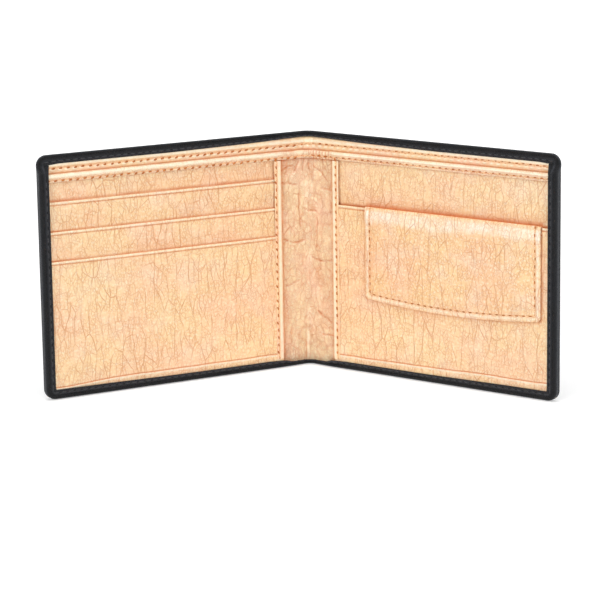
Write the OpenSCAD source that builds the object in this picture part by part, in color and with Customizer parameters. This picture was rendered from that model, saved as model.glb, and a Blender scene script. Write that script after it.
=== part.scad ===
// Bifold leather wallet standing open on its bottom edge, with three card slots on the left
// half and a coin pocket with a flap on the right half. Millimetres, +Z up, spine at the back.

/* [Wallet] */
// Height of the wallet as it stands
wallet_h = 95; // [88:1:110]
// Width of one half, from the point of the spine to the outer edge
half_w = 118; // [114:1:128]
// Angle between the two halves as the wallet stands
opening_angle = 115; // [100:1:140]
// Radius of the rounded outer corners
corner_r = 4; // [3:0.5:6]

/* [Cover leather] */
// Thickness of the black cover leather
cover_t = 0.8; // [0.6:0.05:1.0]
// Thickness of the lip where the cover is turned over the panels
lip_t = 0.55; // [0.4:0.05:0.8]
// Rounding of the turned edge
edge_r = 1.2; // [1.0:0.1:1.6]
// Width of the turned lip down the outer sides
side_lip = 3.8; // [2.5:0.1:5]
// Width of the turned lip along the top
top_lip = 3.4; // [2.5:0.1:4.5]
// Width of the turned lip along the bottom
bottom_lip = 3.4; // [2.5:0.1:4.5]
// Width of the turned lip across the spine
spine_lip = 2.4; // [2:0.1:3]

/* [Folds] */
// Distance from the point of the spine to the seam where each half turns
fold_u = 11; // [10:0.5:12]
// Inner radius of the bend down the middle of the spine
spine_r = 1.9; // [1.5:0.1:3]
// Clearance left between a half and the spine at the seam
fold_gap = 0.15; // [0.1:0.05:0.3]

/* [Inner sheets] */
// Thickness of the lining of the bill compartment
lining_t = 0.25; // [0.2:0.05:0.5]
// Depth of the empty bill compartment
bill_gap = 0.4; // [0.3:0.1:1.5]
// Thickness of the front wall of the bill compartment
wall_t = 0.35; // [0.3:0.05:0.6]
// Thickness of the pocket leather
ply_t = 0.3; // [0.25:0.05:0.5]
// Gap between two neighbouring sheets
ply_gap = 0.05; // [0.03:0.01:0.15]
// Clearance between a sheet's edge and the inside of the turned cover
tuck_gap = 0.25; // [0.2:0.05:0.4]
// Radius of the bead where a pocket edge is folded over
bead_r = 0.3; // [0.2:0.05:0.35]

/* [Hem of the bill compartment] */
// Distance from the top of the wallet down to the hem
hem_drop = 7.4; // [6:0.1:9]
// Width of the turned hem
hem_w = 3.2; // [2.5:0.1:4]

/* [Panel binding] */
// Distance from the point of the spine to the inner edge of both panels
panel_u = 14.2; // [14:0.1:16]
// Width of the strip that binds the inner edge of a panel
bind_w = 3.1; // [2.5:0.1:4]
// Thickness of the binding strip
bind_t = 0.2; // [0.15:0.05:0.3]

/* [Card slots] */
// Distance from the top of the wallet down to the first slot edge
slot_drop = 18.2; // [16:0.1:20]
// Step from one slot edge down to the next
slot_pitch = 11.5; // [10:0.1:12]
// Length of a standard card
card_w = 85.6; // [84:0.1:86]
// Width of a standard card, which stands upright in its slot
card_h = 54; // [50:0.1:55]
// Height of a card that shows above its slot edge
card_show = 8; // [6:0.5:12]
// Room beside a card in its slot, on both sides together
card_play = 3; // [2:0.5:4]
// Height of the wings by which a slot sheet is held in the side seams
wing_h = 17; // [14:0.5:20]

/* [Coin pocket] */
// Distance from the top of the wallet down to the folded edge of the coin panel
coin_drop = 28.3; // [27:0.1:32]
// Width of the coin flap
flap_w = 80.8; // [70:0.1:84]
// Distance from the flap's outer side to the outer edge of the wallet
flap_in = 6.7; // [6:0.1:9]
// Height of the flap at its sides
flap_h = 36.8; // [30:0.1:40]
// How much lower the middle of the flap hangs than its corners
flap_sag = 2.4; // [1.5:0.1:4]
// Radius of the flap's lower corners
flap_corner_r = 1.5; // [1:0.1:3]
// Thickness of the flap's leather
flap_t = 0.4; // [0.3:0.05:0.6]
// Gap between the coin panel and the closed flap
flap_gap = 1; // [0.9:0.1:1.6]
// Radius of the round fold at the top of the flap
roll_r = 0.6; // [0.5:0.05:0.8]
// Width of the leather turned back along the flap's edges
flap_turn = 2.2; // [1.5:0.1:3]
// How far the coin panel's edge is cut down under the flap
mouth_dip = 1.6; // [1.4:0.1:3]
// How far the root of the flap reaches down inside the coin pocket
root_h = 12; // [8:0.5:16]

/* [Press stud] */
// Outer radius of the socket ring
socket_r = 3.4; // [3:0.1:4]
// Radius of the stud's head
stud_r = 1.55; // [1.2:0.05:1.8]
// Clearance around the stud inside the socket
snap_play = 0.2; // [0.1:0.05:0.3]
// Radius of the plates on either side of the leather
plate_r = 4.1; // [3.8:0.1:4.8]
// Thickness of those plates
plate_t = 0.2; // [0.15:0.05:0.25]
// Radius of the rivet that holds the stud
rivet_r = 0.9; // [0.7:0.05:1]
// Distance from the flap's lowest point up to the middle of the press stud
snap_up = 9.5; // [8:0.5:16]

/* [Hidden] */
$fn = 64;

cover_color = "#24262c";
lining_color = "#f6bd92";
panel_color = "#ffcb9e";
edge_color = "#ffd9b3";
metal_color = "#c9a461";

// Angle of each half to the flat, fully open wallet, and the angle left to close it
lean = (180 - opening_angle) / 2;
close_angle = opening_angle / 2;

// Largest share of a thin edge's depth that its rounding takes
edge_share = 0.45;

// Depths below the outer face of the cover, from the outside inward
v_lining = cover_t + ply_gap;
v_wall = v_lining + lining_t + bill_gap;
v_bind = v_wall + wall_t + ply_gap;
v_back = v_bind + bind_t + ply_gap;
function v_ply(i) = v_back + i * (ply_t + ply_gap);
v_lip = v_ply(4);
total_t = v_lip + lip_t;
top_t = v_lining + lining_t + ply_gap + lip_t;
bend_r = spine_r + total_t;
v_flap = v_lip - ply_gap + flap_gap;
flap_all_t = flap_t + lining_t;
v_roll = v_flap + flap_all_t / 2;

// Heights above the bottom edge
h_tuck = cover_t + tuck_gap;
h_hem = wallet_h - hem_drop;
h_panel = h_hem - wall_t - ply_gap;
h_bind = h_hem - hem_w - tuck_gap;
h_step = h_hem + tuck_gap;
h_coin = wallet_h - coin_drop;
h_roll = h_coin;
h_flap_top = h_roll + roll_r;
h_flap_low = h_flap_top - flap_h - flap_sag;
h_snap = h_flap_low + snap_up;
lip_w = max(corner_r, side_lip, top_lip, bottom_lip);

// Places along a half, from the point of the spine outward
u_tuck = half_w - cover_t - tuck_gap;
u_sheet = panel_u + bind_t + ply_gap;
u_fold_end = fold_u - cover_t / 2 - fold_gap;
u_bend = bend_r * tan(lean);
u_flap_end = half_w - flap_in;
u_flap = u_flap_end - flap_w;
u_snap = (u_flap + u_flap_end) / 2;

// The point of the spine lies so that the middle of the footprint is the origin
front_reach = (half_w - edge_r) * sin(lean) + (total_t - edge_r) * cos(lean) + edge_r;
back_reach = bend_r / cos(lean) - bend_r;
y_point = (front_reach + back_reach) / 2;

// Frame of the right half: X runs outward along it, Y is up and Z goes from outside to inside
module right_frame() {
    translate([0, y_point, 0]) rotate([0, 0, -lean]) rotate([90, 0, 0]) children();
}

module left_frame() {
    mirror([1, 0, 0]) right_frame() children();
}

// A flat sheet that starts at depth v
module sheet(v, t) {
    translate([0, 0, v]) linear_extrude(height = t) children();
}

// A section drawn in (height, depth), drawn out along the half from u0 to u1
module along_half(u0, u1) {
    translate([u0, 0, 0]) rotate([90, 0, 90]) linear_extrude(height = u1 - u0) children();
}

// A section drawn in (depth, height), bent round the spine and ending at u1 on both sides
module round_spine(u1) {
    for (side = [0, 1])
        mirror([side, 0, 0]) difference() {
            translate([0, y_point - bend_r / cos(lean), 0]) rotate([0, 0, -lean]) {
                rotate([90, 0, 90]) linear_extrude(height = u1 - u_bend) spine_place() children();
                rotate([0, 0, 90]) rotate_extrude(angle = lean + 1) spine_place() children();
            }
            translate([-half_w, 0, -1]) cube([half_w, half_w, wallet_h + 2]);
        }
}

// Moves a section to its place beside the middle line of the spine's bend
module spine_place() {
    translate([bend_r, 0]) mirror([1, 0]) children();
}

// Rectangle with its corners rounded on the outer side only
module outer_rounded(u0, u1, h0, h1, r) {
    translate([u0, h0]) square([u1 - r - u0, h1 - h0]);
    translate([u0, h0 + r]) square([u1 - u0, h1 - h0 - 2 * r]);
    for (h = [h0 + r, h1 - r])
        translate([u1 - r, h]) circle(r = r);
}

// Rectangle with its lower outer corner rounded
module lower_rounded(u0, u1, h0, h1, r) {
    translate([u0, h0]) square([u1 - r - u0, h1 - h0]);
    translate([u0, h0 + r]) square([u1 - u0, h1 - h0 - r]);
    translate([u1 - r, h0 + r]) circle(r = r);
}

// Block with two rounded corners, drawn in (distance from the edge, depth)
module round_edged(w, depth, r) {
    translate([r, 0]) square([w - r, depth]);
    translate([0, r]) square([w, depth - 2 * r]);
    for (v = [r, depth - r])
        translate([r, v]) circle(r = r);
}

// The cover leather turned round the edge of a stack, with a lip as wide as the corner
module turned_section(depth, w) {
    r = min(edge_r, depth * edge_share);
    hollow = depth - cover_t - lip_t;
    difference() {
        round_edged(w, depth, r);
        translate([cover_t, cover_t])
            if (r > cover_t + ply_gap) round_edged(w, hollow, min(r - cover_t, hollow * edge_share));
            else square([w, hollow]);
    }
}

// The turned edge round one corner of the half
module turned_corner(depth, h, start) {
    translate([half_w - corner_r, h, 0])
        rotate([0, 0, start])
            rotate_extrude(angle = 90) intersection() {
                square([corner_r, depth]);
                translate([corner_r, 0]) mirror([1, 0]) turned_section(depth, corner_r);
            }
}

// The space over a seam that a half needs as it turns, drawn in (place, depth)
module fold_wedge_shape() {
    slope = tan(close_angle / 2);
    reach = fold_gap + (cover_t / 2) * slope;
    far = fold_gap + (total_t + 1) * slope;
    polygon([
        [-reach, cover_t], [reach, cover_t],
        [far, total_t + 1 + cover_t / 2], [-far, total_t + 1 + cover_t / 2]
    ]);
}

// Everything on the spine's side of a seam, and the space over it
module clear_of_spine() {
    translate([fold_u, wallet_h + 1, 0]) rotate([90, 0, 0])
        linear_extrude(height = wallet_h + 2) {
            fold_wedge_shape();
            translate([-half_w, cover_t]) square([half_w, total_t + 1]);
        }
}

// The black cover of one half, its three free edges turned over the panels
module half_cover() {
    difference() {
        union() {
            sheet(0, cover_t)
                translate([fold_u, corner_r / 2])
                    square([half_w - corner_r / 2 - fold_u, wallet_h - corner_r]);
            along_half(fold_u, half_w - corner_r) turned_section(total_t, lip_w);
            turned_corner(total_t, corner_r, -90);
            translate([half_w, h_step, 0]) rotate([90, 0, 0])
                linear_extrude(height = h_step - corner_r) mirror([1, 0]) turned_section(total_t, lip_w);
            translate([half_w, wallet_h - corner_r, 0]) rotate([90, 0, 0])
                linear_extrude(height = wallet_h - corner_r - h_step)
                    mirror([1, 0]) turned_section(top_t, lip_w);
            turned_corner(top_t, wallet_h - corner_r, 0);
            translate([0, wallet_h, 0])
                along_half(fold_u, half_w - corner_r) mirror([1, 0]) turned_section(top_t, lip_w);
            translate([fold_u, wallet_h - edge_r, cover_t / 2]) rotate([90, 0, 0])
                cylinder(h = wallet_h - 2 * edge_r, r = cover_t / 2);
        }
        sheet(cover_t, total_t)
            translate([0, bottom_lip])
                square([half_w - side_lip, wallet_h - bottom_lip - top_lip]);
        clear_of_spine();
    }
}

// Lining of the bill compartment on one half
module half_bill_lining() {
    difference() {
        sheet(v_lining, lining_t)
            outer_rounded(fold_u, u_tuck, h_tuck, wallet_h - h_tuck, corner_r - cover_t);
        clear_of_spine();
    }
}

// Section of the compartment's front wall, turned over the top of the panel behind its hem
module wall_section() {
    depth = v_ply(1) + wall_t - v_wall;
    translate([h_tuck, v_wall]) square([h_hem - hem_w - h_tuck, wall_t]);
    difference() {
        translate([h_hem, v_wall]) mirror([1, 0]) round_edged(hem_w, depth, wall_t);
        translate([h_hem - hem_w - 1, v_wall + wall_t])
            square([hem_w + 1 - wall_t, depth - 2 * wall_t]);
    }
}

// Front wall of the bill compartment on one half
module half_bill_front() {
    difference() {
        intersection() {
            along_half(fold_u, u_tuck) wall_section();
            sheet(0, total_t)
                lower_rounded(0, u_tuck, h_tuck, wallet_h, corner_r - cover_t);
        }
        clear_of_spine();
    }
}

// The round bead where a pocket sheet is folded over at its top edge
module folded_edge(u0, u1, h, v) {
    translate([u0, h - bead_r, v + ply_t]) rotate([0, 90, 0])
        cylinder(h = u1 - u0, r = bead_r - ply_gap);
}

// The strip folded round the inner edge of a panel
module half_binding() {
    height = h_bind - bottom_lip - tuck_gap;
    difference() {
        translate([panel_u, bottom_lip + tuck_gap, v_bind])
            cube([bind_w, height, v_lip + bind_t - v_bind]);
        translate([panel_u + bind_t, 0, v_back - ply_gap])
            cube([bind_w, wallet_h, v_lip - v_back + ply_gap]);
    }
}

// One T-shaped slot sheet: wings reach the side seams, a stem carries the card's foot
module slot_sheet(i) {
    top = wallet_h - slot_drop - i * slot_pitch;
    stem = card_w + card_play;
    middle = (u_sheet + u_tuck) / 2;
    sheet(v_ply(i + 1), ply_t) {
        translate([u_sheet, top - wing_h]) square([u_tuck - u_sheet, wing_h]);
        translate([middle - stem / 2, top + card_show - card_h]) square([stem, card_h - card_show - 1]);
    }
    folded_edge(u_sheet + bind_w, half_w - side_lip, top, v_ply(i + 1));
}

module left_cover() {
    color(cover_color) left_frame() half_cover();
}

module left_bill_lining() {
    color(lining_color) left_frame() half_bill_lining();
}

module left_bill_front() {
    color(edge_color) left_frame() half_bill_front();
}

module left_card_backing() {
    color(panel_color) left_frame()
        sheet(v_back, ply_t) lower_rounded(u_sheet, u_tuck, h_tuck, h_panel, corner_r - cover_t);
}

module card_pocket_top() {
    color(panel_color) left_frame() slot_sheet(0);
}

module card_pocket_middle() {
    color(panel_color) left_frame() slot_sheet(1);
}

module card_pocket_front() {
    top = wallet_h - slot_drop - 2 * slot_pitch;
    color(panel_color) left_frame() {
        sheet(v_ply(3), ply_t) lower_rounded(u_sheet, u_tuck, h_tuck, top, corner_r - cover_t);
        folded_edge(u_sheet + bind_w, half_w - side_lip, top, v_ply(3));
    }
}

module left_panel_binding() {
    color(edge_color) left_frame() half_binding();
}

module right_cover() {
    color(cover_color) right_frame() half_cover();
}

module right_bill_lining() {
    color(lining_color) right_frame() half_bill_lining();
}

module right_bill_front() {
    color(edge_color) right_frame() half_bill_front();
}

module right_panel_back() {
    color(panel_color) right_frame()
        sheet(v_back, ply_t) lower_rounded(u_sheet, u_tuck, h_tuck, h_panel, corner_r - cover_t);
}

module right_panel_binding() {
    color(edge_color) right_frame() half_binding();
}

// Front of the coin pocket, its edge cut down where the flap passes over it
module coin_panel() {
    v = v_ply(3);
    mouth_0 = u_flap - tuck_gap;
    mouth_1 = u_flap_end + tuck_gap;
    color(panel_color) right_frame() {
        difference() {
            sheet(v, ply_t) lower_rounded(u_sheet, u_tuck, h_tuck, h_coin, corner_r - cover_t);
            sheet(v - 1, ply_t + 2)
                translate([mouth_0, h_coin - mouth_dip]) square([mouth_1 - mouth_0, mouth_dip + 1]);
            translate([u_snap, h_snap, v - 1]) cylinder(h = ply_t + 2, r = rivet_r + snap_play / 2);
        }
        folded_edge(u_sheet + bind_w, mouth_0, h_coin, v);
        folded_edge(mouth_1, half_w - side_lip, h_coin, v);
    }
}

// The flap's leather below its fold: sewn inside the pocket and brought over the panel's edge
module flap_root() {
    v = v_ply(1);
    color(edge_color) right_frame() {
        sheet(v, ply_t)
            translate([u_flap, h_roll - root_h]) square([flap_w, root_h]);
        translate([u_flap, h_roll - ply_t / 2, v])
            cube([flap_w, ply_t, v_roll - roll_r - ply_gap - v]);
        translate([u_flap, h_roll - ply_t / 2, v + ply_t / 2]) rotate([0, 90, 0])
            cylinder(h = flap_w, r = ply_t / 2);
    }
}

// Outline of the flap with a gently bowed lower edge, drawn inside its border by inset
module flap_outline(inset) {
    half = flap_w / 2;
    side = half - inset;
    bow_r = (half * half + flap_sag * flap_sag) / (2 * flap_sag);
    r = max(flap_corner_r - inset, 0);
    corner_h = h_flap_low + flap_sag + inset;
    translate([u_flap + half, 0])
        intersection() {
            union() {
                translate([-side, corner_h + r]) square([2 * side, h_roll - corner_h - r]);
                translate([r - side, h_flap_low]) square([2 * (side - r), h_roll - h_flap_low]);
                if (r > 0) for (place = [r - side, side - r]) translate([place, corner_h + r]) circle(r = r);
            }
            translate([0, h_flap_low + bow_r]) circle(r = bow_r - inset, $fn = 360);
        }
}

// The outer leather of the flap, its edges turned back round the lining
module coin_flap() {
    color(panel_color) right_frame() {
        difference() {
            sheet(v_flap, flap_all_t) flap_outline(0);
            sheet(v_flap - 1, lining_t + 1) flap_outline(flap_turn);
        }
        translate([u_flap, h_roll, v_roll]) rotate([0, 90, 0]) cylinder(h = flap_w, r = roll_r);
    }
}

// The flap's lining, let in between the turned edges, with the hole for the socket
module coin_flap_lining() {
    color(lining_color) right_frame()
        difference() {
            sheet(v_flap, lining_t - ply_gap) intersection() {
                flap_outline(flap_turn + ply_gap);
                translate([u_flap, 0]) square([flap_w, h_roll - roll_r - ply_gap]);
            }
            translate([u_snap, h_snap, v_flap - 1]) cylinder(h = lining_t + 2, r = stud_r + 2 * snap_play + plate_t);
        }
}

// Female part of the press stud, set in the flap's lining
module snap_socket() {
    bore_r = stud_r + snap_play;
    plate_v = v_flap - plate_t;
    ring_v = v_lip - ply_gap + 2 * plate_t;
    color(metal_color) right_frame()
        translate([u_snap, h_snap, 0])
            difference() {
                union() {
                    translate([0, 0, ring_v]) cylinder(h = plate_v - ring_v, r = socket_r);
                    translate([0, 0, plate_v]) cylinder(h = plate_t, r = plate_r);
                    translate([0, 0, plate_v]) cylinder(h = plate_t + lining_t - ply_gap, r = bore_r + plate_t);
                }
                translate([0, 0, ring_v - 1]) cylinder(h = v_flap + lining_t, r = bore_r);
            }
}

// Male part of the press stud, riveted to the coin panel
module snap_stud() {
    v = v_lip - ply_gap;
    color(metal_color) right_frame()
        translate([u_snap, h_snap, v])
            difference() {
                union() {
                    cylinder(h = plate_t, r = plate_r);
                    cylinder(h = flap_gap - stud_r / 4, r = stud_r);
                    translate([0, 0, flap_gap - stud_r / 4])
                        cylinder(h = stud_r / 4, r1 = stud_r, r2 = stud_r / 2);
                }
                translate([0, 0, -1]) cylinder(h = 1 + flap_gap / 2, r = rivet_r + ply_gap);
            }
}

// The rivet that clinches the stud from inside the coin pocket
module stud_rivet() {
    v = v_ply(3);
    color(metal_color) right_frame()
        translate([u_snap, h_snap, v - plate_t]) {
            cylinder(h = plate_t, r = plate_r - 1);
            cylinder(h = plate_t + ply_t + flap_gap / 2 - ply_gap, r = rivet_r);
        }
}

// The cover leather of the spine, turned over at the top and at the bottom
module spine_cover_section() {
    translate([0, spine_lip]) square([cover_t, wallet_h - 2 * spine_lip]);
    mirror([1, 0]) rotate([0, 0, 90]) turned_section(total_t, spine_lip);
    translate([0, wallet_h]) rotate([0, 0, -90]) turned_section(top_t, spine_lip);
}

// What a spine piece keeps clear of on the far side of both seams
module clear_of_halves() {
    for (side = [0, 1])
        mirror([side, 0, 0]) right_frame()
            translate([fold_u, wallet_h + 1, 0]) rotate([90, 0, 0])
                linear_extrude(height = wallet_h + 2) fold_wedge_shape();
}

module spine_cover() {
    color(cover_color)
        difference() {
            round_spine(u_fold_end) spine_cover_section();
            clear_of_halves();
        }
}

module spine_bill_lining() {
    color(lining_color)
        difference() {
            round_spine(u_fold_end) translate([v_lining, h_tuck]) square([lining_t, wallet_h - 2 * h_tuck]);
            clear_of_halves();
        }
}

module spine_bill_front() {
    color(edge_color)
        difference() {
            round_spine(u_fold_end) mirror([1, 0]) rotate([0, 0, 90]) wall_section();
            clear_of_halves();
        }
}

left_cover();
left_bill_lining();
left_bill_front();
left_card_backing();
card_pocket_top();
card_pocket_middle();
card_pocket_front();
left_panel_binding();
spine_cover();
spine_bill_lining();
spine_bill_front();
right_cover();
right_bill_lining();
right_bill_front();
right_panel_back();
coin_panel();
right_panel_binding();
flap_root();
snap_stud();
stud_rivet();
coin_flap();
coin_flap_lining();
snap_socket();
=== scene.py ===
"""A bifold leather wallet that stands open: card slots on the left, a coin pocket on the right."""

import logging
import math
from dataclasses import dataclass
from enum import Enum

import bmesh
import bpy
import numpy as np
from mathutils import Matrix, Vector


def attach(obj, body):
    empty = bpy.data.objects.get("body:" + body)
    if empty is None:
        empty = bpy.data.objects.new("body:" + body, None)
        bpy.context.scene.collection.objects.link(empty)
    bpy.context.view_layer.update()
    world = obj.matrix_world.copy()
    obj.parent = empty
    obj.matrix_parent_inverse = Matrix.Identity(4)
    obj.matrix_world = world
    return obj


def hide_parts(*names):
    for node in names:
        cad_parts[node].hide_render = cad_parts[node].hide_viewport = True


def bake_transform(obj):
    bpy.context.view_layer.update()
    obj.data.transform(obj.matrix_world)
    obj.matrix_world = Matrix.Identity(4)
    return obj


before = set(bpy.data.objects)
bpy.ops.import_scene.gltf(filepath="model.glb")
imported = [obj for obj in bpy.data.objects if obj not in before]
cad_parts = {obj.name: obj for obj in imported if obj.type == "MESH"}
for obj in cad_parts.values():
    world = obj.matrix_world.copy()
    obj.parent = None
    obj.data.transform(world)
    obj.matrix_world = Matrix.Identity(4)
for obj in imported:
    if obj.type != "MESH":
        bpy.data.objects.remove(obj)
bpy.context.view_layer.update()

MM = 0.001
TINY = 1e-9
SHARP_ANGLE = math.radians(50)
LOG = logging.getLogger("wallet")
GRAIN = "grain"
# Attribute with the share of painted shade: in seams and creases, under edges and round the coin flap
PAINTED_SHADE = "deep"
# Attribute with the share of painted highlight on ridges, folded edges and the flap's top
PAINTED_HIGHLIGHT = "painted_highlight"

Colour = tuple[float, float, float, float]
Places = float | np.ndarray
Seam = tuple[np.ndarray, np.ndarray]
Table = tuple[tuple[float, ...], tuple[float, ...]]
Socket = bpy.types.NodeSocket
Value = float | tuple | bpy.types.NodeSocket


class Side(Enum):
    """The two halves of the wallet, as the camera sees them."""

    LEFT = "left"
    RIGHT = "right"

    @property
    def sign(self) -> int:
        """Which way x runs along this half."""
        return 1 if self is Side.RIGHT else -1

    @property
    def body(self) -> str:
        """The body that this half rides on."""
        return f"{self.value}_half"


@dataclass(frozen=True)
class Layout:
    """Sizes of the wallet in millimetres, as in the CAD part.

    A place on a half is given by u, outward from the spine; v, inward from the cover's outer
    face; and h, up from the floor.
    """

    height: float = 95.0
    half_width: float = 118.0
    corner: float = 4.0
    inner_corner: float = 2.9
    lean: float = math.radians(32.5)
    point_y: float = 33.758
    bend_radius: float = 6.0
    cover: float = 0.8
    lip: float = 0.55
    depth: float = 4.1
    top_depth: float = 1.7
    tuck: float = 1.05
    lining: tuple[float, float] = (0.85, 1.1)
    wall: tuple[float, float] = (1.5, 1.85)
    panel_back: float = 2.15
    panel_top: float = 87.2
    ply: float = 0.3
    ply_step: float = 0.35
    hem_top: float = 87.6
    sheet_u: float = 14.45
    slot_tops: tuple[float, float, float] = (76.8, 65.3, 53.8)
    pocket_drop: float = 46.0
    coin_top: float = 66.7
    fold: tuple[float, float] = (7.6, 14.1)

    @property
    def middle(self) -> float:
        """The u of the wallet's middle plane, on the bend."""
        return self.bend_radius * (math.tan(self.lean) - self.lean)

    @property
    def tuck_u(self) -> float:
        """Where the inner sheets end inside the turned cover."""
        return self.half_width - self.tuck

    def place(self, side: Side, u: Places, v: Places, h: Places) -> np.ndarray:
        """Turns places on a half into points.

        Args:
            side: The half.
            u: Distances from the point of the spine.
            v: Depths below the outer face.
            h: Heights.

        Returns:
            Points in metres, with the last axis x, y, z.
        """
        u, v, h = np.broadcast_arrays(*(np.asarray(x, float) for x in (u, v, h)))
        r, a = self.bend_radius, self.lean
        walk = u - self.middle
        turn = np.minimum(walk / r, a)
        rest = np.maximum(walk - r * a, 0.0)
        x = (r - v) * np.sin(turn) + rest * math.cos(a)
        y = self.point_y - r / math.cos(a) + (r - v) * np.cos(turn) - rest * math.sin(a)
        return np.stack([side.sign * x, y, h], axis=-1) * MM

    def inward(self, side: Side, u: Places, h: Places) -> np.ndarray:
        """Unit vectors that point from the cover into the wallet."""
        ahead = self.place(side, u, 1.0, h) - self.place(side, u, 0.0, h)
        return ahead / np.linalg.norm(ahead, axis=-1, keepdims=True)

    def across_fold(self) -> np.ndarray:
        """Places along a sheet from the middle of the spine into the turned cover."""
        return steps((self.middle, 16.0, 0.3), (16.0, 113.0, 0.5), (113.0, self.tuck_u, 1.0))

    def within_corners(self, u: np.ndarray, h: np.ndarray) -> tuple[np.ndarray, np.ndarray]:
        """Draws places of an inner sheet into the rounding of the half's outer corners.

        Args:
            u: Distances from the point of the spine.
            h: Heights.

        Returns:
            The new u and h.
        """
        side = self.half_width - self.corner
        for centre, way in ((self.corner, -1), (self.height - self.corner, 1)):
            u, h = into_corner(u, h, (side, centre), (1, way), self.inner_corner)
        return u, h


LAYOUT = Layout()


def smooth(x: Places, low: Places, high: Places) -> np.ndarray:
    """A smooth step from 0 at low to 1 at high, which may be the smaller."""
    t = np.clip((np.asarray(x, float) - low) / (high - low), 0.0, 1.0)
    return t * t * (3 - 2 * t)


def hump(x: Places, centre: Places, width: float) -> np.ndarray:
    """A smooth bump of height 1 round centre."""
    return np.exp(-(((np.asarray(x, float) - centre) / width) ** 2))


def noise(x: Places, y: Places, seed: int) -> np.ndarray:
    """Smooth noise from -1 to 1 with features one unit apart.

    Args:
        x: Places along the first axis.
        y: Places along the second axis.
        seed: Picks the pattern.

    Returns:
        One value for each place.
    """
    x, y = np.broadcast_arrays(np.asarray(x, float), np.asarray(y, float))
    xi, yi = np.floor(x).astype(np.int64), np.floor(y).astype(np.int64)
    fx, fy = x - xi, y - yi
    primes, mix, mask = (374761393, 668265263, 974634777), 1274126177, 0xFFFFFFFF

    def corner(i: int, j: int) -> np.ndarray:
        """The value at one corner of each cell."""
        n = ((xi + i) * primes[0] + (yi + j) * primes[1] + seed * primes[2]) & mask
        n = ((n ^ (n >> 13)) * mix) & mask
        return ((n ^ (n >> 16)) & 0xFFFF) / 32767.5 - 1

    sx, sy = fx * fx * (3 - 2 * fx), fy * fy * (3 - 2 * fy)
    low = corner(0, 0) * (1 - sx) + corner(1, 0) * sx
    high = corner(0, 1) * (1 - sx) + corner(1, 1) * sx
    return low * (1 - sy) + high * sy


def layers(x: Places, y: Places, seed: int, count: int = 3) -> np.ndarray:
    """Noise at count scales, each half as large as the one before."""
    total = sum(noise(x * 2**k, y * 2**k, seed + k) / 2**k for k in range(count))
    return total / (2 - 0.5 ** (count - 1))


def creases(x: Places, y: Places, seed: int, width: float) -> np.ndarray:
    """Meandering lines, 1 on a line and 0 between lines."""
    return np.exp(-((layers(x, y, seed, 2) / width) ** 2))


def steps(*runs: tuple[float, float, float]) -> np.ndarray:
    """Places in even steps along one or more runs.

    Args:
        *runs: Start, end and largest step of each run. A run starts where the last one ends.

    Returns:
        The places, without doubles.
    """
    parts = []
    for start, end, spacing in runs:
        count = max(1, math.ceil(abs(end - start) / spacing - TINY))
        parts.append(np.linspace(start, end, count + 1))
    joined = np.concatenate(parts)
    keep = np.concatenate([[True], np.abs(np.diff(joined)) > TINY])
    return joined[keep]


def into_corner(
    u: np.ndarray, h: np.ndarray, centre: tuple[float, float], signs: tuple[int, int], radius: float
) -> tuple[np.ndarray, np.ndarray]:
    """Draws the places past a corner's centre into its rounding.

    Args:
        u: First coordinates.
        h: Second coordinates.
        centre: The centre of the rounding.
        signs: Which way the corner lies from its centre, as two signs.
        radius: The corner's radius.

    Returns:
        The new u and h.
    """
    du, dh = (u - centre[0]) * signs[0], (h - centre[1]) * signs[1]
    inside = (du > 0) & (dh > 0)
    far = np.maximum(np.maximum(du, dh), TINY)
    scale = np.minimum(far, radius) / np.maximum(np.hypot(du, dh), TINY)
    return (
        np.where(inside, centre[0] + signs[0] * du * scale, u),
        np.where(inside, centre[1] + signs[1] * dh * scale, h),
    )


def quads(grid: np.ndarray, flip: bool = False) -> list[list[int]]:
    """Faces between the neighbours in a grid of corner numbers."""
    found = np.stack([grid[:-1, :-1], grid[1:, :-1], grid[1:, 1:], grid[:-1, 1:]], axis=-1).reshape(-1, 4)
    return (found[:, ::-1] if flip else found).tolist()


def mesh_object(
    name: str, points: np.ndarray, faces: list[list[int]], values: dict[str, np.ndarray], finish: "Finish"
) -> bpy.types.Object:
    """Makes an object at the origin from points and faces, with smooth shading.

    Args:
        name: The piece's name.
        points: Corners in metres.
        faces: Lists of corner numbers.
        values: An attribute for each name, with one number or vector per corner.
        finish: The piece's finish.

    Returns:
        The new object.
    """
    mesh = bpy.data.meshes.new(name)
    mesh.from_pydata(points.tolist(), [], faces)
    for key, data in values.items():
        kind, target = ("FLOAT_VECTOR", "vector") if data.ndim == 2 else ("FLOAT", "value")
        attribute = mesh.attributes.new(key, kind, "POINT")
        attribute.data.foreach_set(target, np.ascontiguousarray(data, np.float32).ravel())
    shape = bmesh.new()
    shape.from_mesh(mesh)
    bmesh.ops.recalc_face_normals(shape, faces=shape.faces)
    for face in shape.faces:
        face.smooth = True
    for edge in shape.edges:
        edge.smooth = edge.is_manifold and edge.calc_face_angle(0.0) < SHARP_ANGLE
    shape.to_mesh(mesh)
    shape.free()
    made = bpy.data.objects.new(name, mesh)
    bpy.context.scene.collection.objects.link(made)
    made.data.materials.append(finish.material())
    return made


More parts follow.
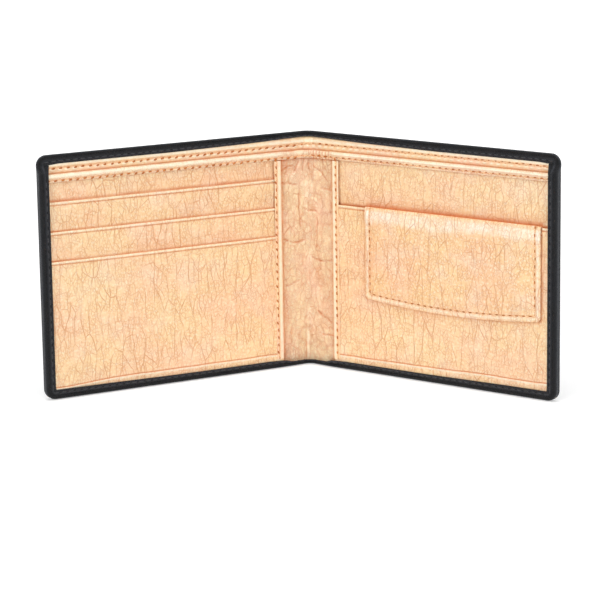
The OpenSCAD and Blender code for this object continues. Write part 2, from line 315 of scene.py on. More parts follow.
def slab(
    name: str, front: np.ndarray, back: np.ndarray, values: dict[str, np.ndarray], finish: "Finish"
) -> bpy.types.Object:
    """Makes a closed sheet from two grids of points that lie over each other.

    Args:
        name: The piece's name.
        front: Points of one side, as rows by columns by x, y, z.
        back: Points of the other side, in the same order.
        values: Attributes on the same grid, used on both sides.
        finish: The piece's finish.

    Returns:
        The new object.
    """
    n, m = front.shape[:2]
    index = np.arange(n * m).reshape(n, m)
    faces = quads(index) + quads(index + n * m, flip=True)
    rim = np.concatenate([index[:, 0], index[-1, 1:], index[-2::-1, -1], index[0, -2:0:-1]])
    after = np.roll(rim, -1)
    faces += np.stack([rim, rim + n * m, after + n * m, after], axis=-1).tolist()
    points = np.concatenate([front.reshape(-1, 3), back.reshape(-1, 3)])
    both = {key: np.concatenate([data.reshape(n * m, *data.shape[2:])] * 2) for key, data in values.items()}
    return mesh_object(name, points, faces, both, finish)


class Graph:
    """Adds nodes to one tree and joins them."""

    def __init__(self, tree: bpy.types.NodeTree) -> None:
        """Keeps the tree that is filled."""
        self.tree = tree

    def node(self, kind: str, inputs: dict | None = None, **settings: object) -> bpy.types.Node:
        """Adds a node.

        Args:
            kind: The node's type.
            inputs: A value or an output socket for each input.
            **settings: Properties of the node.

        Returns:
            The node.
        """
        made = self.tree.nodes.new(kind)
        for key, value in settings.items():
            setattr(made, key, value)
        for key, value in (inputs or {}).items():
            if isinstance(value, bpy.types.NodeSocket):
                self.tree.links.new(value, made.inputs[key])
            else:
                made.inputs[key].default_value = value
        return made

    def out(self, kind: str, inputs: dict | None = None, output: int | str = 0, **settings: object) -> Socket:
        """Adds a node and gives one of its outputs."""
        return self.node(kind, inputs, **settings).outputs[output]

    def math(self, operation: str, a: Value, b: Value = 0.0) -> Socket:
        """Adds a sum, product or other operation on two numbers."""
        return self.out("ShaderNodeMath", {0: a, 1: b}, operation=operation)

    def weighed(self, *parts: tuple[Value, float]) -> Value:
        """Adds up values, each times its weight.

        Args:
            *parts: The values and their weights.

        Returns:
            The sum.
        """
        total = self.math("MULTIPLY", *parts[0])
        for part, weight in parts[1:]:
            total = self.math("ADD", total, self.math("MULTIPLY", part, weight))
        return total

    def blend(self, share: Value, a: Value, b: Value) -> Socket:
        """Mixes two colours."""
        return self.out("ShaderNodeMix", {0: share, 6: a, 7: b}, output=2, data_type="RGBA")

    def span(self, value: Value, low: float, high: float, start: float = 0.0, end: float = 1.0) -> Socket:
        """Maps a range of values to another, smoothly and within its ends."""
        inputs = {0: value, 1: low, 2: high, 3: start, 4: end}
        return self.out("ShaderNodeMapRange", inputs, interpolation_type="SMOOTHSTEP")

    def attribute(self, name: str, output: str = "Fac") -> Socket:
        """Reads an attribute of the piece."""
        return self.out("ShaderNodeAttribute", output=output, attribute_name=name)

    def own_place(self) -> Socket:
        """The place in the object's own coordinates."""
        return self.out("ShaderNodeTexCoord", output="Object")

    def scaled(self, vector: Value, factors: tuple[float, float, float]) -> Socket:
        """Stretches a vector."""
        return self.out("ShaderNodeVectorMath", {0: vector, 1: factors}, operation="MULTIPLY")

    def added(self, a: Value, b: Value) -> Socket:
        """Adds two vectors."""
        return self.out("ShaderNodeVectorMath", {0: a, 1: b}, operation="ADD")

    def cloud(self, vector: Value, scale: float, detail: float = 2.0, output: int | str = 0) -> Socket:
        """Adds a noise texture."""
        inputs = {"Vector": vector, "Scale": scale, "Detail": detail}
        return self.out("ShaderNodeTexNoise", inputs, output)

    def warped(
        self, vector: Value, place: Value, scale: float, reach: tuple[float, float, float], detail: float
    ) -> Socket:
        """Moves a vector by the colours of a noise texture.

        Args:
            vector: The vector.
            place: Where the noise is read.
            scale: Features of the noise across one unit.
            reach: The longest way along each axis.
            detail: Finer layers of the noise.

        Returns:
            The moved vector.
        """
        return self.added(vector, self.scaled(self.cloud(place, scale, detail, "Color"), reach))

    def cracks(self, vector: Value, scale: float, space: str = "3D") -> Socket:
        """Distance to the nearest border between random cells."""
        inputs = {"Vector": vector, "Scale": scale}
        settings = {"feature": "DISTANCE_TO_EDGE", "voronoi_dimensions": space}
        return self.out("ShaderNodeTexVoronoi", inputs, "Distance", **settings)

    def border(self, place: Value, scale: float, tall: float) -> Socket:
        """Distance to a border of stretched flat cells, the same in all directions.

        Args:
            place: Places in units of 100 mm.
            scale: Cells across one unit.
            tall: How far the cells' heights are scaled up before the cells are made, below 1.

        Returns:
            The distance in millimetres.
        """
        step, least = 0.0004, 0.0002
        here, aside, above = (
            self.cracks(self.scaled(self.added(place, move), (1.0, tall, 1.0)), scale, "2D")
            for move in ((0.0, 0.0, 0.0), (step, 0.0, 0.0), (0.0, step, 0.0))
        )
        squares = [self.math("POWER", self.math("SUBTRACT", moved, here), 2.0) for moved in (aside, above)]
        slope = self.math("SQRT", self.math("ADD", *squares))
        return self.math("DIVIDE", self.math("MULTIPLY", here, 100 * step), self.math("ADD", slope, least))

    def bump(self, height: Value, strength: float, distance: float) -> Socket:
        """Turns a height into a normal."""
        return self.out("ShaderNodeBump", {"Height": height, "Strength": strength, "Distance": distance})

    def surface(self, colour: Value, roughness: Value, more: dict[str, Value]) -> Socket:
        """Adds the shader of a solid surface."""
        return self.out("ShaderNodeBsdfPrincipled", {"Base Color": colour, "Roughness": roughness, **more})

    def seen(self) -> Socket:
        """1 where the studio itself is looked at, straight or in a reflection, and 0 where it lights."""
        path = self.node("ShaderNodeLightPath").outputs
        mirrored = self.math("MAXIMUM", path["Is Camera Ray"], path["Is Glossy Ray"])
        return self.math("MAXIMUM", mirrored, path["Is Transmission Ray"])


def rgb(red: int, green: int, blue: int) -> Colour:
    """A colour as it looks, from 0 to 255, as the light values that Blender uses."""

    def light(value: int) -> float:
        """One channel's light value."""
        share = value / 255
        return share / 12.92 if share <= 0.04045 else ((share + 0.055) / 1.055) ** 2.4

    return light(red), light(green), light(blue), 1.0


@dataclass(frozen=True)
class Finish:
    """A finish whose material is made once."""

    name: str

    def material(self) -> bpy.types.Material:
        """The finish's material, made at the first call.

        Returns:
            The material.
        """
        found = bpy.data.materials.get(self.name)
        if found:
            return found
        made = bpy.data.materials.new(self.name)
        made.use_nodes = True
        made.node_tree.nodes.clear()
        graph = Graph(made.node_tree)
        graph.node("ShaderNodeOutputMaterial", {"Surface": self.shader(graph)})
        return made

    def shader(self, graph: Graph) -> Socket:
        """Builds the shader and returns its output."""
        raise NotImplementedError


@dataclass(frozen=True)
class VeinNet:
    """One net of the veins in pearl leather.

    Args:
        finer: How much finer it is than the finish's spacing.
        width: Width of its lines in millimetres.
        depth: Its strength, from 0 to 1.
        clouds: Scale of the clouds that hide parts of it.
    """

    finer: float
    width: float
    depth: float
    clouds: float


VEIN_NETS = (VeinNet(1.2, 0.24, 0.95, 7.0), VeinNet(2.2, 0.2, 0.74, 12.0), VeinNet(4.8, 0.18, 0.58, 26.0))


@dataclass(frozen=True)
class PearlLeather(Finish):
    """Peach leather with a pearl surface and a net of fine veins, with painted shade and painted highlight.

    Args:
        base: Colour of most of the leather.
        pink: Colour of the redder patches.
        pale: Colour of the pearl in pores, and of the painted highlight on ridges and folds.
        vein: Colour of the veins.
        shadow: Colour of the painted shade in seams, creases and under edges.
        pinkness: The most that pink covers.
        spacing: Width of the cells between veins, in millimetres.
        vein_strength: The most that the veins' colour covers.
        roughness: Mean roughness.
        relief: Strength of the relief.
        calm: Share of the veins that the painted highlight takes away.
        tall: Height scale of the cells in each net, less than 1 for upright cells.
    """

    base: Colour = rgb(255, 221, 170)
    pink: Colour = rgb(255, 201, 168)
    pale: Colour = rgb(255, 245, 220)
    vein: Colour = rgb(224, 144, 84)
    shadow: Colour = rgb(214, 112, 44)
    pinkness: float = 0.5
    spacing: float = 5.2
    vein_strength: float = 0.8
    roughness: float = 0.36
    relief: float = 0.7
    calm: float = 0.75
    tall: tuple[float, float, float] = (0.24, 0.4, 0.75)

    def veins(self, graph: Graph, place: Socket) -> Value:
        """Draws the nets of veins over each other.

        Args:
            graph: The material's nodes.
            place: Places in the leather's pattern.

        Returns:
            1 on a line, 0 between lines.
        """
        bent = graph.warped(place, place, 10.0, (0.03, 0.03, 0.0), 1.0)
        bent = graph.warped(bent, place, 60.0, (0.0056, 0.0056, 0.0), 1.0)
        total: Value = 0.0
        for net, tall in zip(VEIN_NETS, self.tall):
            away = graph.border(bent, 100 / self.spacing * net.finer, tall)
            line = graph.span(away, net.width * 0.15, net.width, net.depth, 0.0)
            line = graph.math("MULTIPLY", line, graph.span(graph.cloud(place, net.clouds), 0.34, 0.6))
            total = graph.math("MAXIMUM", total, line)
        return total

    def shader(self, graph: Graph) -> Socket:
        """Builds the shader.

        Args:
            graph: The material's nodes.

        Returns:
            The shader's output.
        """
        place, painted_highlight = graph.attribute(GRAIN, "Vector"), graph.attribute(PAINTED_HIGHLIGHT)
        # The veins fade where the painted highlight lies
        unhighlighted = graph.math("SUBTRACT", 1.0, graph.math("MULTIPLY", painted_highlight, self.calm))
        lines = graph.math("MULTIPLY", self.veins(graph, place), unhighlighted)
        grain, pores = graph.cloud(place, 170.0, 3.0), graph.cloud(place, 95.0)
        patchy = graph.span(graph.cloud(place, 60.0, 3.0), 0.3, 0.62, 0.5, 1.0)
        coats = (
            (graph.span(graph.cloud(place, 4.5, 3.0), 0.38, 0.66, 0.0, self.pinkness), self.pink),
            (graph.span(pores, 0.5, 0.7, 0.0, 0.48), self.pale),
            (graph.span(pores, 0.5, 0.3, 0.0, 0.14), self.vein),
            (graph.span(graph.cloud(place, 9.0, 3.0), 0.45, 0.75, 0.0, 0.3), self.pale),
            # Painted highlight: pale laid by the highlight attribute, broken into patches
            (graph.math("MULTIPLY", painted_highlight, patchy), self.pale),
            (graph.math("MULTIPLY", lines, self.vein_strength), self.vein),
            # Painted shade: the shadow colour laid by the shade attribute
            (graph.attribute(PAINTED_SHADE), self.shadow),
        )
        colour: Value = self.base
        for share, coat in coats:
            colour = graph.blend(share, colour, coat)
        height = graph.weighed((lines, -0.8), (grain, 0.5), (pores, 0.65), (graph.cloud(place, 42.0), 0.6))
        rough = graph.span(grain, 0.3, 0.7, self.roughness - 0.06, self.roughness + 0.08)
        sheen = {"Metallic": 0.06, "Specular IOR Level": 0.6, "Coat Weight": 0.3, "Coat Roughness": 0.3}
        return graph.surface(colour, rough, {**sheen, "Normal": graph.bump(height, self.relief, 0.0003)})


@dataclass(frozen=True)
class BlackLeather(Finish):
    """Matt black leather with a small pebble grain, and a painted highlight on its turned edges."""

    dark: Colour = rgb(11, 12, 15)
    light: Colour = rgb(29, 31, 35)
    # Colour of the painted highlight on the turned edges
    painted_highlight: Colour = rgb(76, 78, 84)
    roughness: float = 0.52

    def shader(self, graph: Graph) -> Socket:
        """Builds the shader.

        Args:
            graph: The material's nodes.

        Returns:
            The shader's output.
        """
        place = graph.attribute(GRAIN, "Vector")
        pebbles = graph.cracks(graph.warped(place, place, 60.0, (0.008, 0.008, 0.008), 2.0), 110.0)
        cloud = graph.cloud(place, 12.0, 4.0)
        colour = graph.blend(graph.span(cloud, 0.3, 0.75, 0.0, 0.55), self.dark, self.light)
        # Painted highlight on the turned edges
        colour = graph.blend(graph.math("MULTIPLY", graph.attribute(PAINTED_HIGHLIGHT), 0.7), colour, self.painted_highlight)
        height = graph.weighed((graph.span(pebbles, 0.0, 0.25), 1.0), (graph.cloud(place, 240.0), 0.4))
        rough = graph.span(cloud, 0.3, 0.7, self.roughness - 0.06, self.roughness + 0.06)
        normal = graph.bump(height, 0.8, 0.00024)
        return graph.surface(colour, rough, {"Specular IOR Level": 0.22, "Normal": normal})


@dataclass(frozen=True)
class Thread(Finish):
    """Twisted sewing thread."""

    colour: Colour = rgb(252, 216, 172)
    dark: Colour = rgb(232, 174, 124)

    def shader(self, graph: Graph) -> Socket:
        """Builds the shader.

        Args:
            graph: The material's nodes.

        Returns:
            The shader's output.
        """
        inputs = {"Vector": graph.own_place(), "Scale": 900.0, "Distortion": 2.0}
        twist = graph.out("ShaderNodeTexWave", inputs, "Fac", bands_direction="DIAGONAL")
        colour = graph.blend(graph.span(twist, 0.2, 0.8), self.dark, self.colour)
        return graph.surface(colour, 0.55, {"Normal": graph.bump(twist, 0.4, 0.00005)})


@dataclass(frozen=True)
class NeedleHoleShade(Finish):
    """Painted shade in a needle hole: a dark colour on the hole's bottom."""

    colour: Colour = rgb(176, 98, 44)
    edge: Colour = rgb(210, 132, 68)

    def shader(self, graph: Graph) -> Socket:
        """Builds the shader and returns its output."""
        share = graph.span(graph.cloud(graph.own_place(), 1500.0, 1.0), 0.3, 0.7)
        return graph.surface(graph.blend(share, self.colour, self.edge), 0.9, {})


@dataclass(frozen=True)
class Brass(Finish):
    """Polished brass with fine turning marks."""

    colour: Colour = rgb(214, 176, 106)
    dull: Colour = rgb(168, 130, 74)

    def shader(self, graph: Graph) -> Socket:
        """Builds the shader.

        Args:
            graph: The material's nodes.

        Returns:
            The shader's output.
        """
        cloud = graph.cloud(graph.own_place(), 900.0, 3.0)
        colour = graph.blend(graph.span(cloud, 0.3, 0.7), self.dull, self.colour)
        rough = graph.span(cloud, 0.3, 0.7, 0.2, 0.34)
        return graph.surface(colour, rough, {"Metallic": 1.0, "Normal": graph.bump(cloud, 0.15, 0.00002)})


@dataclass(frozen=True)
class PaleFloor(Finish):
    """A white floor that keeps the object's shadow and stays white far from the lamps.

    Args:
        near: Glow under the object.
        far: Glow far from it.
    """

    near: float = 0.34
    far: float = 0.8

    def shader(self, graph: Graph) -> Socket:
        """Builds the shader.

        Args:
            graph: The material's nodes.

        Returns:
            The shader's output.
        """
        away = graph.out("ShaderNodeVectorMath", {0: graph.own_place()}, "Value", operation="LENGTH")
        glow = graph.math("MULTIPLY", graph.seen(), graph.span(away, 0.12, 0.9, self.near, self.far))
        cloth = graph.out("ShaderNodeBsdfDiffuse", {"Color": (0.86, 0.86, 0.86, 1.0)})
        light = graph.out("ShaderNodeEmission", {"Strength": glow})
        return graph.out("ShaderNodeAddShader", {0: cloth, 1: light})


PANEL = PearlLeather("pearl_panel")
HEM = PearlLeather("pearl_hem", pinkness=0.7, spacing=6.0, vein_strength=0.14, relief=0.4)
SPINE = PearlLeather(
    "pearl_spine",
    base=rgb(255, 230, 188),
    pink=rgb(255, 211, 180),
    pinkness=0.75,
    spacing=3.4,
    vein_strength=0.62,
    relief=0.75,
    tall=(0.6, 0.8, 1.0),
)
FLAP = PearlLeather(
    "pearl_flap",
    base=rgb(255, 217, 162),
    # Whiter pale for the painted highlight band under the fold; calm is low so the veins show through it
    pale=rgb(255, 249, 232),
    spacing=4.8,
    roughness=0.34,
    calm=0.25,
)
BLACK = BlackLeather("black_grain")
PEACH_THREAD = Thread("peach_thread")
BLACK_THREAD = Thread("black_thread", colour=rgb(60, 61, 66), dark=rgb(24, 24, 28))
# Dark discs in the needle holes paint the shade inside them
PEACH_HOLE_SHADE = NeedleHoleShade("peach_hole_shade")
BLACK_HOLE_SHADE = NeedleHoleShade("black_hole_shade", colour=rgb(8, 8, 10), edge=rgb(20, 20, 24))
BRASS = Brass("polished_brass")
FLOOR = PaleFloor("studio_floor")


@dataclass(frozen=True)
class StitchSizes:
    """Sizes of one sewn row, in millimetres.

    Args:
        pitch: From one stitch to the next.
        length: Length of a stitch.
        radius: Radius of the thread.
        hole: Half the width of a needle hole.
        sink: How far thread and holes lie below the row's line.
        slant: Turn of the stitches away from the line, in radians.
    """

    pitch: float = 3.0
    length: float = 2.0
    radius: float = 0.3
    hole: float = 0.36
    sink: float = 0.08
    slant: float = 0.3


STITCH = StitchSizes()
FLAP_STITCH = StitchSizes(length=1.9, radius=0.26, hole=0.3, slant=0.0)
COVER_STITCH = StitchSizes(length=2.1, radius=0.26, hole=0.3, sink=0.04, slant=0.0)


def stitch_wave(u: np.ndarray) -> np.ndarray:
    """A wave from -1 to 1 in step with the stitches of the long rows."""
    return np.cos(2 * math.pi * (u - LAYOUT.middle) / STITCH.pitch)


def swell(side: Side, u: np.ndarray, h: np.ndarray) -> np.ndarray:
    """How far the leather of a panel rises over its flat place.

    Args:
        side: The half.
        u: Distances from the point of the spine.
        h: Heights.

    Returns:
        The rise in millimetres.
    """
    edge = smooth(u, 17.0, 34.0) * smooth(u, 114.5, 100.0) * smooth(h, 3.5, 16.0) * smooth(h, 84.5, 76.0)
    seed = 11 if side is Side.LEFT else 23
    return edge * (0.22 + 0.22 * layers(u / 26, h / 20, seed)) + edge * 0.05 * noise(u / 5, h / 7, seed + 5)


BEAD_ROWS = np.array(
    [2.0, 1.6, 1.44, 1.34, 1.26, 1.18, 1.1, 1.02, 0.93, 0.84]
    + [0.72, 0.6, 0.48, 0.34, 0.24, 0.15, 0.09, 0.05, 0.02, 0.0]
)


def bead(d: np.ndarray) -> np.ndarray:
    """Relief of a folded edge and the crease under it, at distances d below the edge."""
    at = (0.0, 0.05, 0.15, 0.34, 0.6, 0.84, 1.02, 1.18, 1.34, 1.6)
    return np.interp(d, at, (-0.16, 0.0, 0.15, 0.25, 0.24, 0.1, -0.06, -0.17, -0.08, 0.0))


@dataclass
class Piece:
    """What every piece of leather shares.

    Args:
        side: The half that it belongs to.
        shift: Where it was cut from the hide, in millimetres.
    """

    side: Side
    shift: tuple[float, float] = (0.0, 0.0)

    def values(
        self, u: np.ndarray, h: np.ndarray, deep: np.ndarray, painted_highlight: np.ndarray
    ) -> dict[str, np.ndarray]:
        """The attributes that the leather's finish reads.

        Args:
            u: Distances from the point of the spine.
            h: Heights.
            deep: Share of painted shade at each place, in seams, creases and under edges.
            painted_highlight: Share of painted highlight at each place.

        Returns:
            Places in the leather's pattern, one unit to 100 mm, and the shares of painted shade and painted
            highlight from 0 to 1.
        """
        first = (u * self.side.sign + self.shift[0]) / 100
        second = (h + self.shift[1]) / 100
        grain = np.stack(np.broadcast_arrays(first, second, 0.0), axis=-1)
        return {GRAIN: grain, PAINTED_SHADE: np.clip(deep, 0, 1), PAINTED_HIGHLIGHT: np.clip(painted_highlight, 0, 1)}

    def sheet(
        self, name: str, front: tuple, back: tuple, values: dict[str, np.ndarray], finish: Finish
    ) -> bpy.types.Object:
        """Makes a closed sheet on this half.

        Args:
            name: The piece's name.
            front: The u, v and h of the side that shows.
            back: The u, v and h of the other side.
            values: Attributes on the same grid.
            finish: The piece's finish.

        Returns:
            The new object.
        """
        return slab(name, LAYOUT.place(self.side, *front), LAYOUT.place(self.side, *back), values, finish)

    def nodes(self, part: str) -> list[str]:
        """The CAD nodes of a part on this half, with the spine's on the right half."""
        sides = ("right", "spine") if self.side is Side.RIGHT else ("left",)
        return [f"{side}_{part}" for side in sides]


@dataclass(kw_only=True)
class PocketSheet(Piece):
    """A sheet of a panel.

    Args:
        name: The piece's name.
        node: The CAD node that it replaces.
        back: Depth of its back face.
        top: Height of its top edge.
        folded: Whether the top edge is folded and shows.
        foot: Height of the foot of a T-shaped sheet, or None for one that reaches the bottom.
        wing: Height of the wings of a T-shaped sheet.
        stem: Width of its stem.
        crease: Whether a crease runs along the bottom.
        mouth: Start, end and depth of the pocket's mouth in the top edge.
        shade: Height of the edge in front, below which painted shade lies on this sheet.
    """

    name: str
    node: str
    back: float
    top: float
    folded: bool = True
    foot: float | None = None
    wing: float = 17.0
    stem: float = 88.6
    crease: bool = False
    mouth: tuple[float, float, float] | None = None
    shade: float | None = None

    def crease_height(self, u: np.ndarray) -> np.ndarray:
        """Where the crease along the bottom runs.

        Args:
            u: Distances from the point of the spine.

        Returns:
            Heights in millimetres.
        """
        if self.side is Side.LEFT:
            line = np.interp(u, (12, 50, 80, 96, 106, 113, 118), (5.7, 5.8, 5.7, 5.4, 4.7, 4.4, 4.4))
        else:
            line = np.interp(u, (12, 40, 70, 84, 113, 118), (5.6, 5.9, 6.3, 6.6, 6.7, 6.7))
        return line + 0.12 * noise(u / 6, 0.0, 31)

    def flap_shade(self, u: np.ndarray, h: np.ndarray) -> np.ndarray:
        """The painted shadow, in orange, that the coin flap casts on the leather round it.

        Args:
            u: Distances from the point of the spine.
            h: Heights.

        Returns:
            The tint's strength.
        """
        flap = CoinFlap()
        low = flap.low_edge(np.clip(u, flap.start, flap.end))
        across = smooth(u, flap.start - 1.0, flap.start + 0.5) * smooth(u, flap.end + 1.0, flap.end - 0.5)
        along = smooth(h, low - 0.4, low + 0.6) * smooth(h, flap.top + 0.4, flap.top - 0.6)
        above, below = h - flap.top, low - h
        right, left = u - flap.end, flap.start - u
        painted_shadow = across * (above > -0.6) * (0.55 * hump(above, 0, 0.9) + 0.2 * hump(above, 0, 3.0))
        painted_shadow += across * (below > -0.9) * (0.36 * hump(below, 0, 0.7) + 0.14 * hump(below, 0, 3.0))
        painted_shadow += along * (right > -0.9) * 0.6 * hump(np.maximum(right, 0), 0, 0.4)
        painted_shadow += along * (left > -0.9) * (0.28 * hump(left, 0, 0.6) + 0.14 * hump(left, 0, 2.5))
        return painted_shadow

    def columns(self) -> tuple[np.ndarray, np.ndarray, np.ndarray]:
        """Where the columns of points stand.

        Returns:
            Places along the sheet, and the heights of its foot and of its top at each.
        """
        us = steps((LAYOUT.sheet_u, 18.0, 0.5), (18.0, 112.0, 1.15), (112.0, LAYOUT.tuck_u, 0.6))
        middle = (LAYOUT.sheet_u + LAYOUT.tuck_u) / 2
        cuts: tuple[float, ...] = ()
        if self.foot is not None:
            cuts = (middle - self.stem / 2, middle + self.stem / 2)
        if self.mouth:
            cuts = self.mouth[:2]
        beside = np.array([-0.01, 0.01])
        us = np.sort(np.concatenate([us, *(cut + beside for cut in cuts)]))
        foot, top = np.full_like(us, LAYOUT.tuck), np.full_like(us, self.top)
        if self.foot is not None:
            foot = np.where(np.abs(us - middle) < self.stem / 2, self.foot, self.top - self.wing)
        if self.mouth:
            start, end, drop = self.mouth
            top = np.where((us > start) & (us < end), self.top - drop, self.top)
        return us, foot, top

    def heights(self, us: np.ndarray, foot: np.ndarray, top: np.ndarray) -> np.ndarray:
        """Heights of the points in each column, close together at the crease and the folded edge.

        Args:
            us: Places along the sheet.
            foot: Height of its foot at each.
            top: Height of its top at each.

        Returns:
            One row of heights for each column.
        """
        upper = top - BEAD_ROWS[0]
        if self.crease:
            low, high = self.crease_height(us) - 1.2, self.crease_height(us) + 1.2
            runs = (
                np.linspace(foot, low, 6),
                np.linspace(low, high, 16)[1:],
                np.linspace(high, upper, 60)[1:],
            )
            body = np.concatenate(runs).T
        else:
            body = foot[:, None] + (upper - foot)[:, None] * np.linspace(0.0, 1.0, 74)
        return np.concatenate([body[:, :-1], top[:, None] - BEAD_ROWS], axis=1)

    def skin(self, u: np.ndarray, h: np.ndarray, d: np.ndarray) -> tuple[np.ndarray, np.ndarray, np.ndarray]:
        """Relief, painted shade and painted highlight of the side that shows.

        Args:
            u: Distances from the point of the spine.
            h: Heights.
            d: Distances below the top edge.

        Returns:
            The relief in millimetres, the painted shade in seams, creases and under edges, and the painted
            highlight on ridges.
        """
        held = smooth(u, 14.5, 18.0) * smooth(u, 116.5, 113.0)
        rise = (bead(d) * held if self.folded else -0.05 * (d < 0.05)) + swell(self.side, u, h)
        deep, painted_highlight = np.zeros_like(h), np.zeros_like(h)
        if self.folded:
            # Painted shade in the crease under the folded edge, painted highlight on its ridge
            deep += 0.72 * hump(d, 1.25, 0.2) * held
            painted_highlight += 0.75 * hump(d, 0.5, 0.38) * held
        if self.crease:
            line = self.crease_height(u)
            rise += -0.16 * hump(h, line, 0.22) + 0.14 * hump(h, line - 0.5, 0.3)
            # Painted shade in the bottom crease and painted highlight on the ridge below it
            deep += 0.85 * hump(h, line, 0.24)
            painted_highlight += hump(h, line - 0.65, 0.4)
        if self.shade:
            # Painted shade under the edge of the sheet in front, narrow and strong, then wide and faint
            above = h - self.shade
            strength = 0.92 + 0.2 * noise(u / 9, 0.0, 33)
            deep += strength * (above > -0.6) * hump(np.maximum(above, 0), 0, 0.5)
            deep += 0.15 * (above > 0) * hump(above, 0, 5.0)
        if self.side is Side.RIGHT:
            # Painted shadow of the coin flap
            deep += self.flap_shade(u, h)
        return rise - 0.03 * creases(u / 7, h / 12, 41, 0.12), deep, painted_highlight

    def build(self) -> bpy.types.Object:
        """Builds the sheet and gives it to its half.

        Returns:
            The sheet.
        """
        us, foot, top = self.columns()
        h = self.heights(us, foot, top)
        u = np.repeat(us[:, None], h.shape[1], axis=1)
        rise, deep, painted_highlight = self.skin(u, h, top[:, None] - h)
        round_u, round_h = LAYOUT.within_corners(u, h)
        front = (round_u, self.back + LAYOUT.ply + rise, round_h)
        back = (round_u, self.back + swell(self.side, u, h), round_h)
        made = self.sheet(self.name, front, back, self.values(u, h, deep, painted_highlight), PANEL)
        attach(made, self.side.body)
        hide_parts(self.node)
        wide, tall, area = LAYOUT.tuck_u - LAYOUT.sheet_u, self.top - LAYOUT.tuck, None
        if self.foot is not None:
            tall = self.top - self.foot
            area = (wide * self.wing + self.stem * (tall - self.wing)) * MM * MM
        return made


@dataclass(frozen=True)
class Station:
    """A place along the cover's turned edge where its section is drawn.

    Args:
        u: Distance from the spine of the flat part's end there.
        h: Height of the flat part's end.
        way: Direction from there to the edge, in u and h.
        depth: Thickness of the stack that is held.
        lip: Width of the lip.
        cell: Row and column of the flat part's grid that the section joins.
    """

    u: float
    h: float
    way: tuple[float, float]
    depth: float
    lip: float
    cell: tuple[int, int]


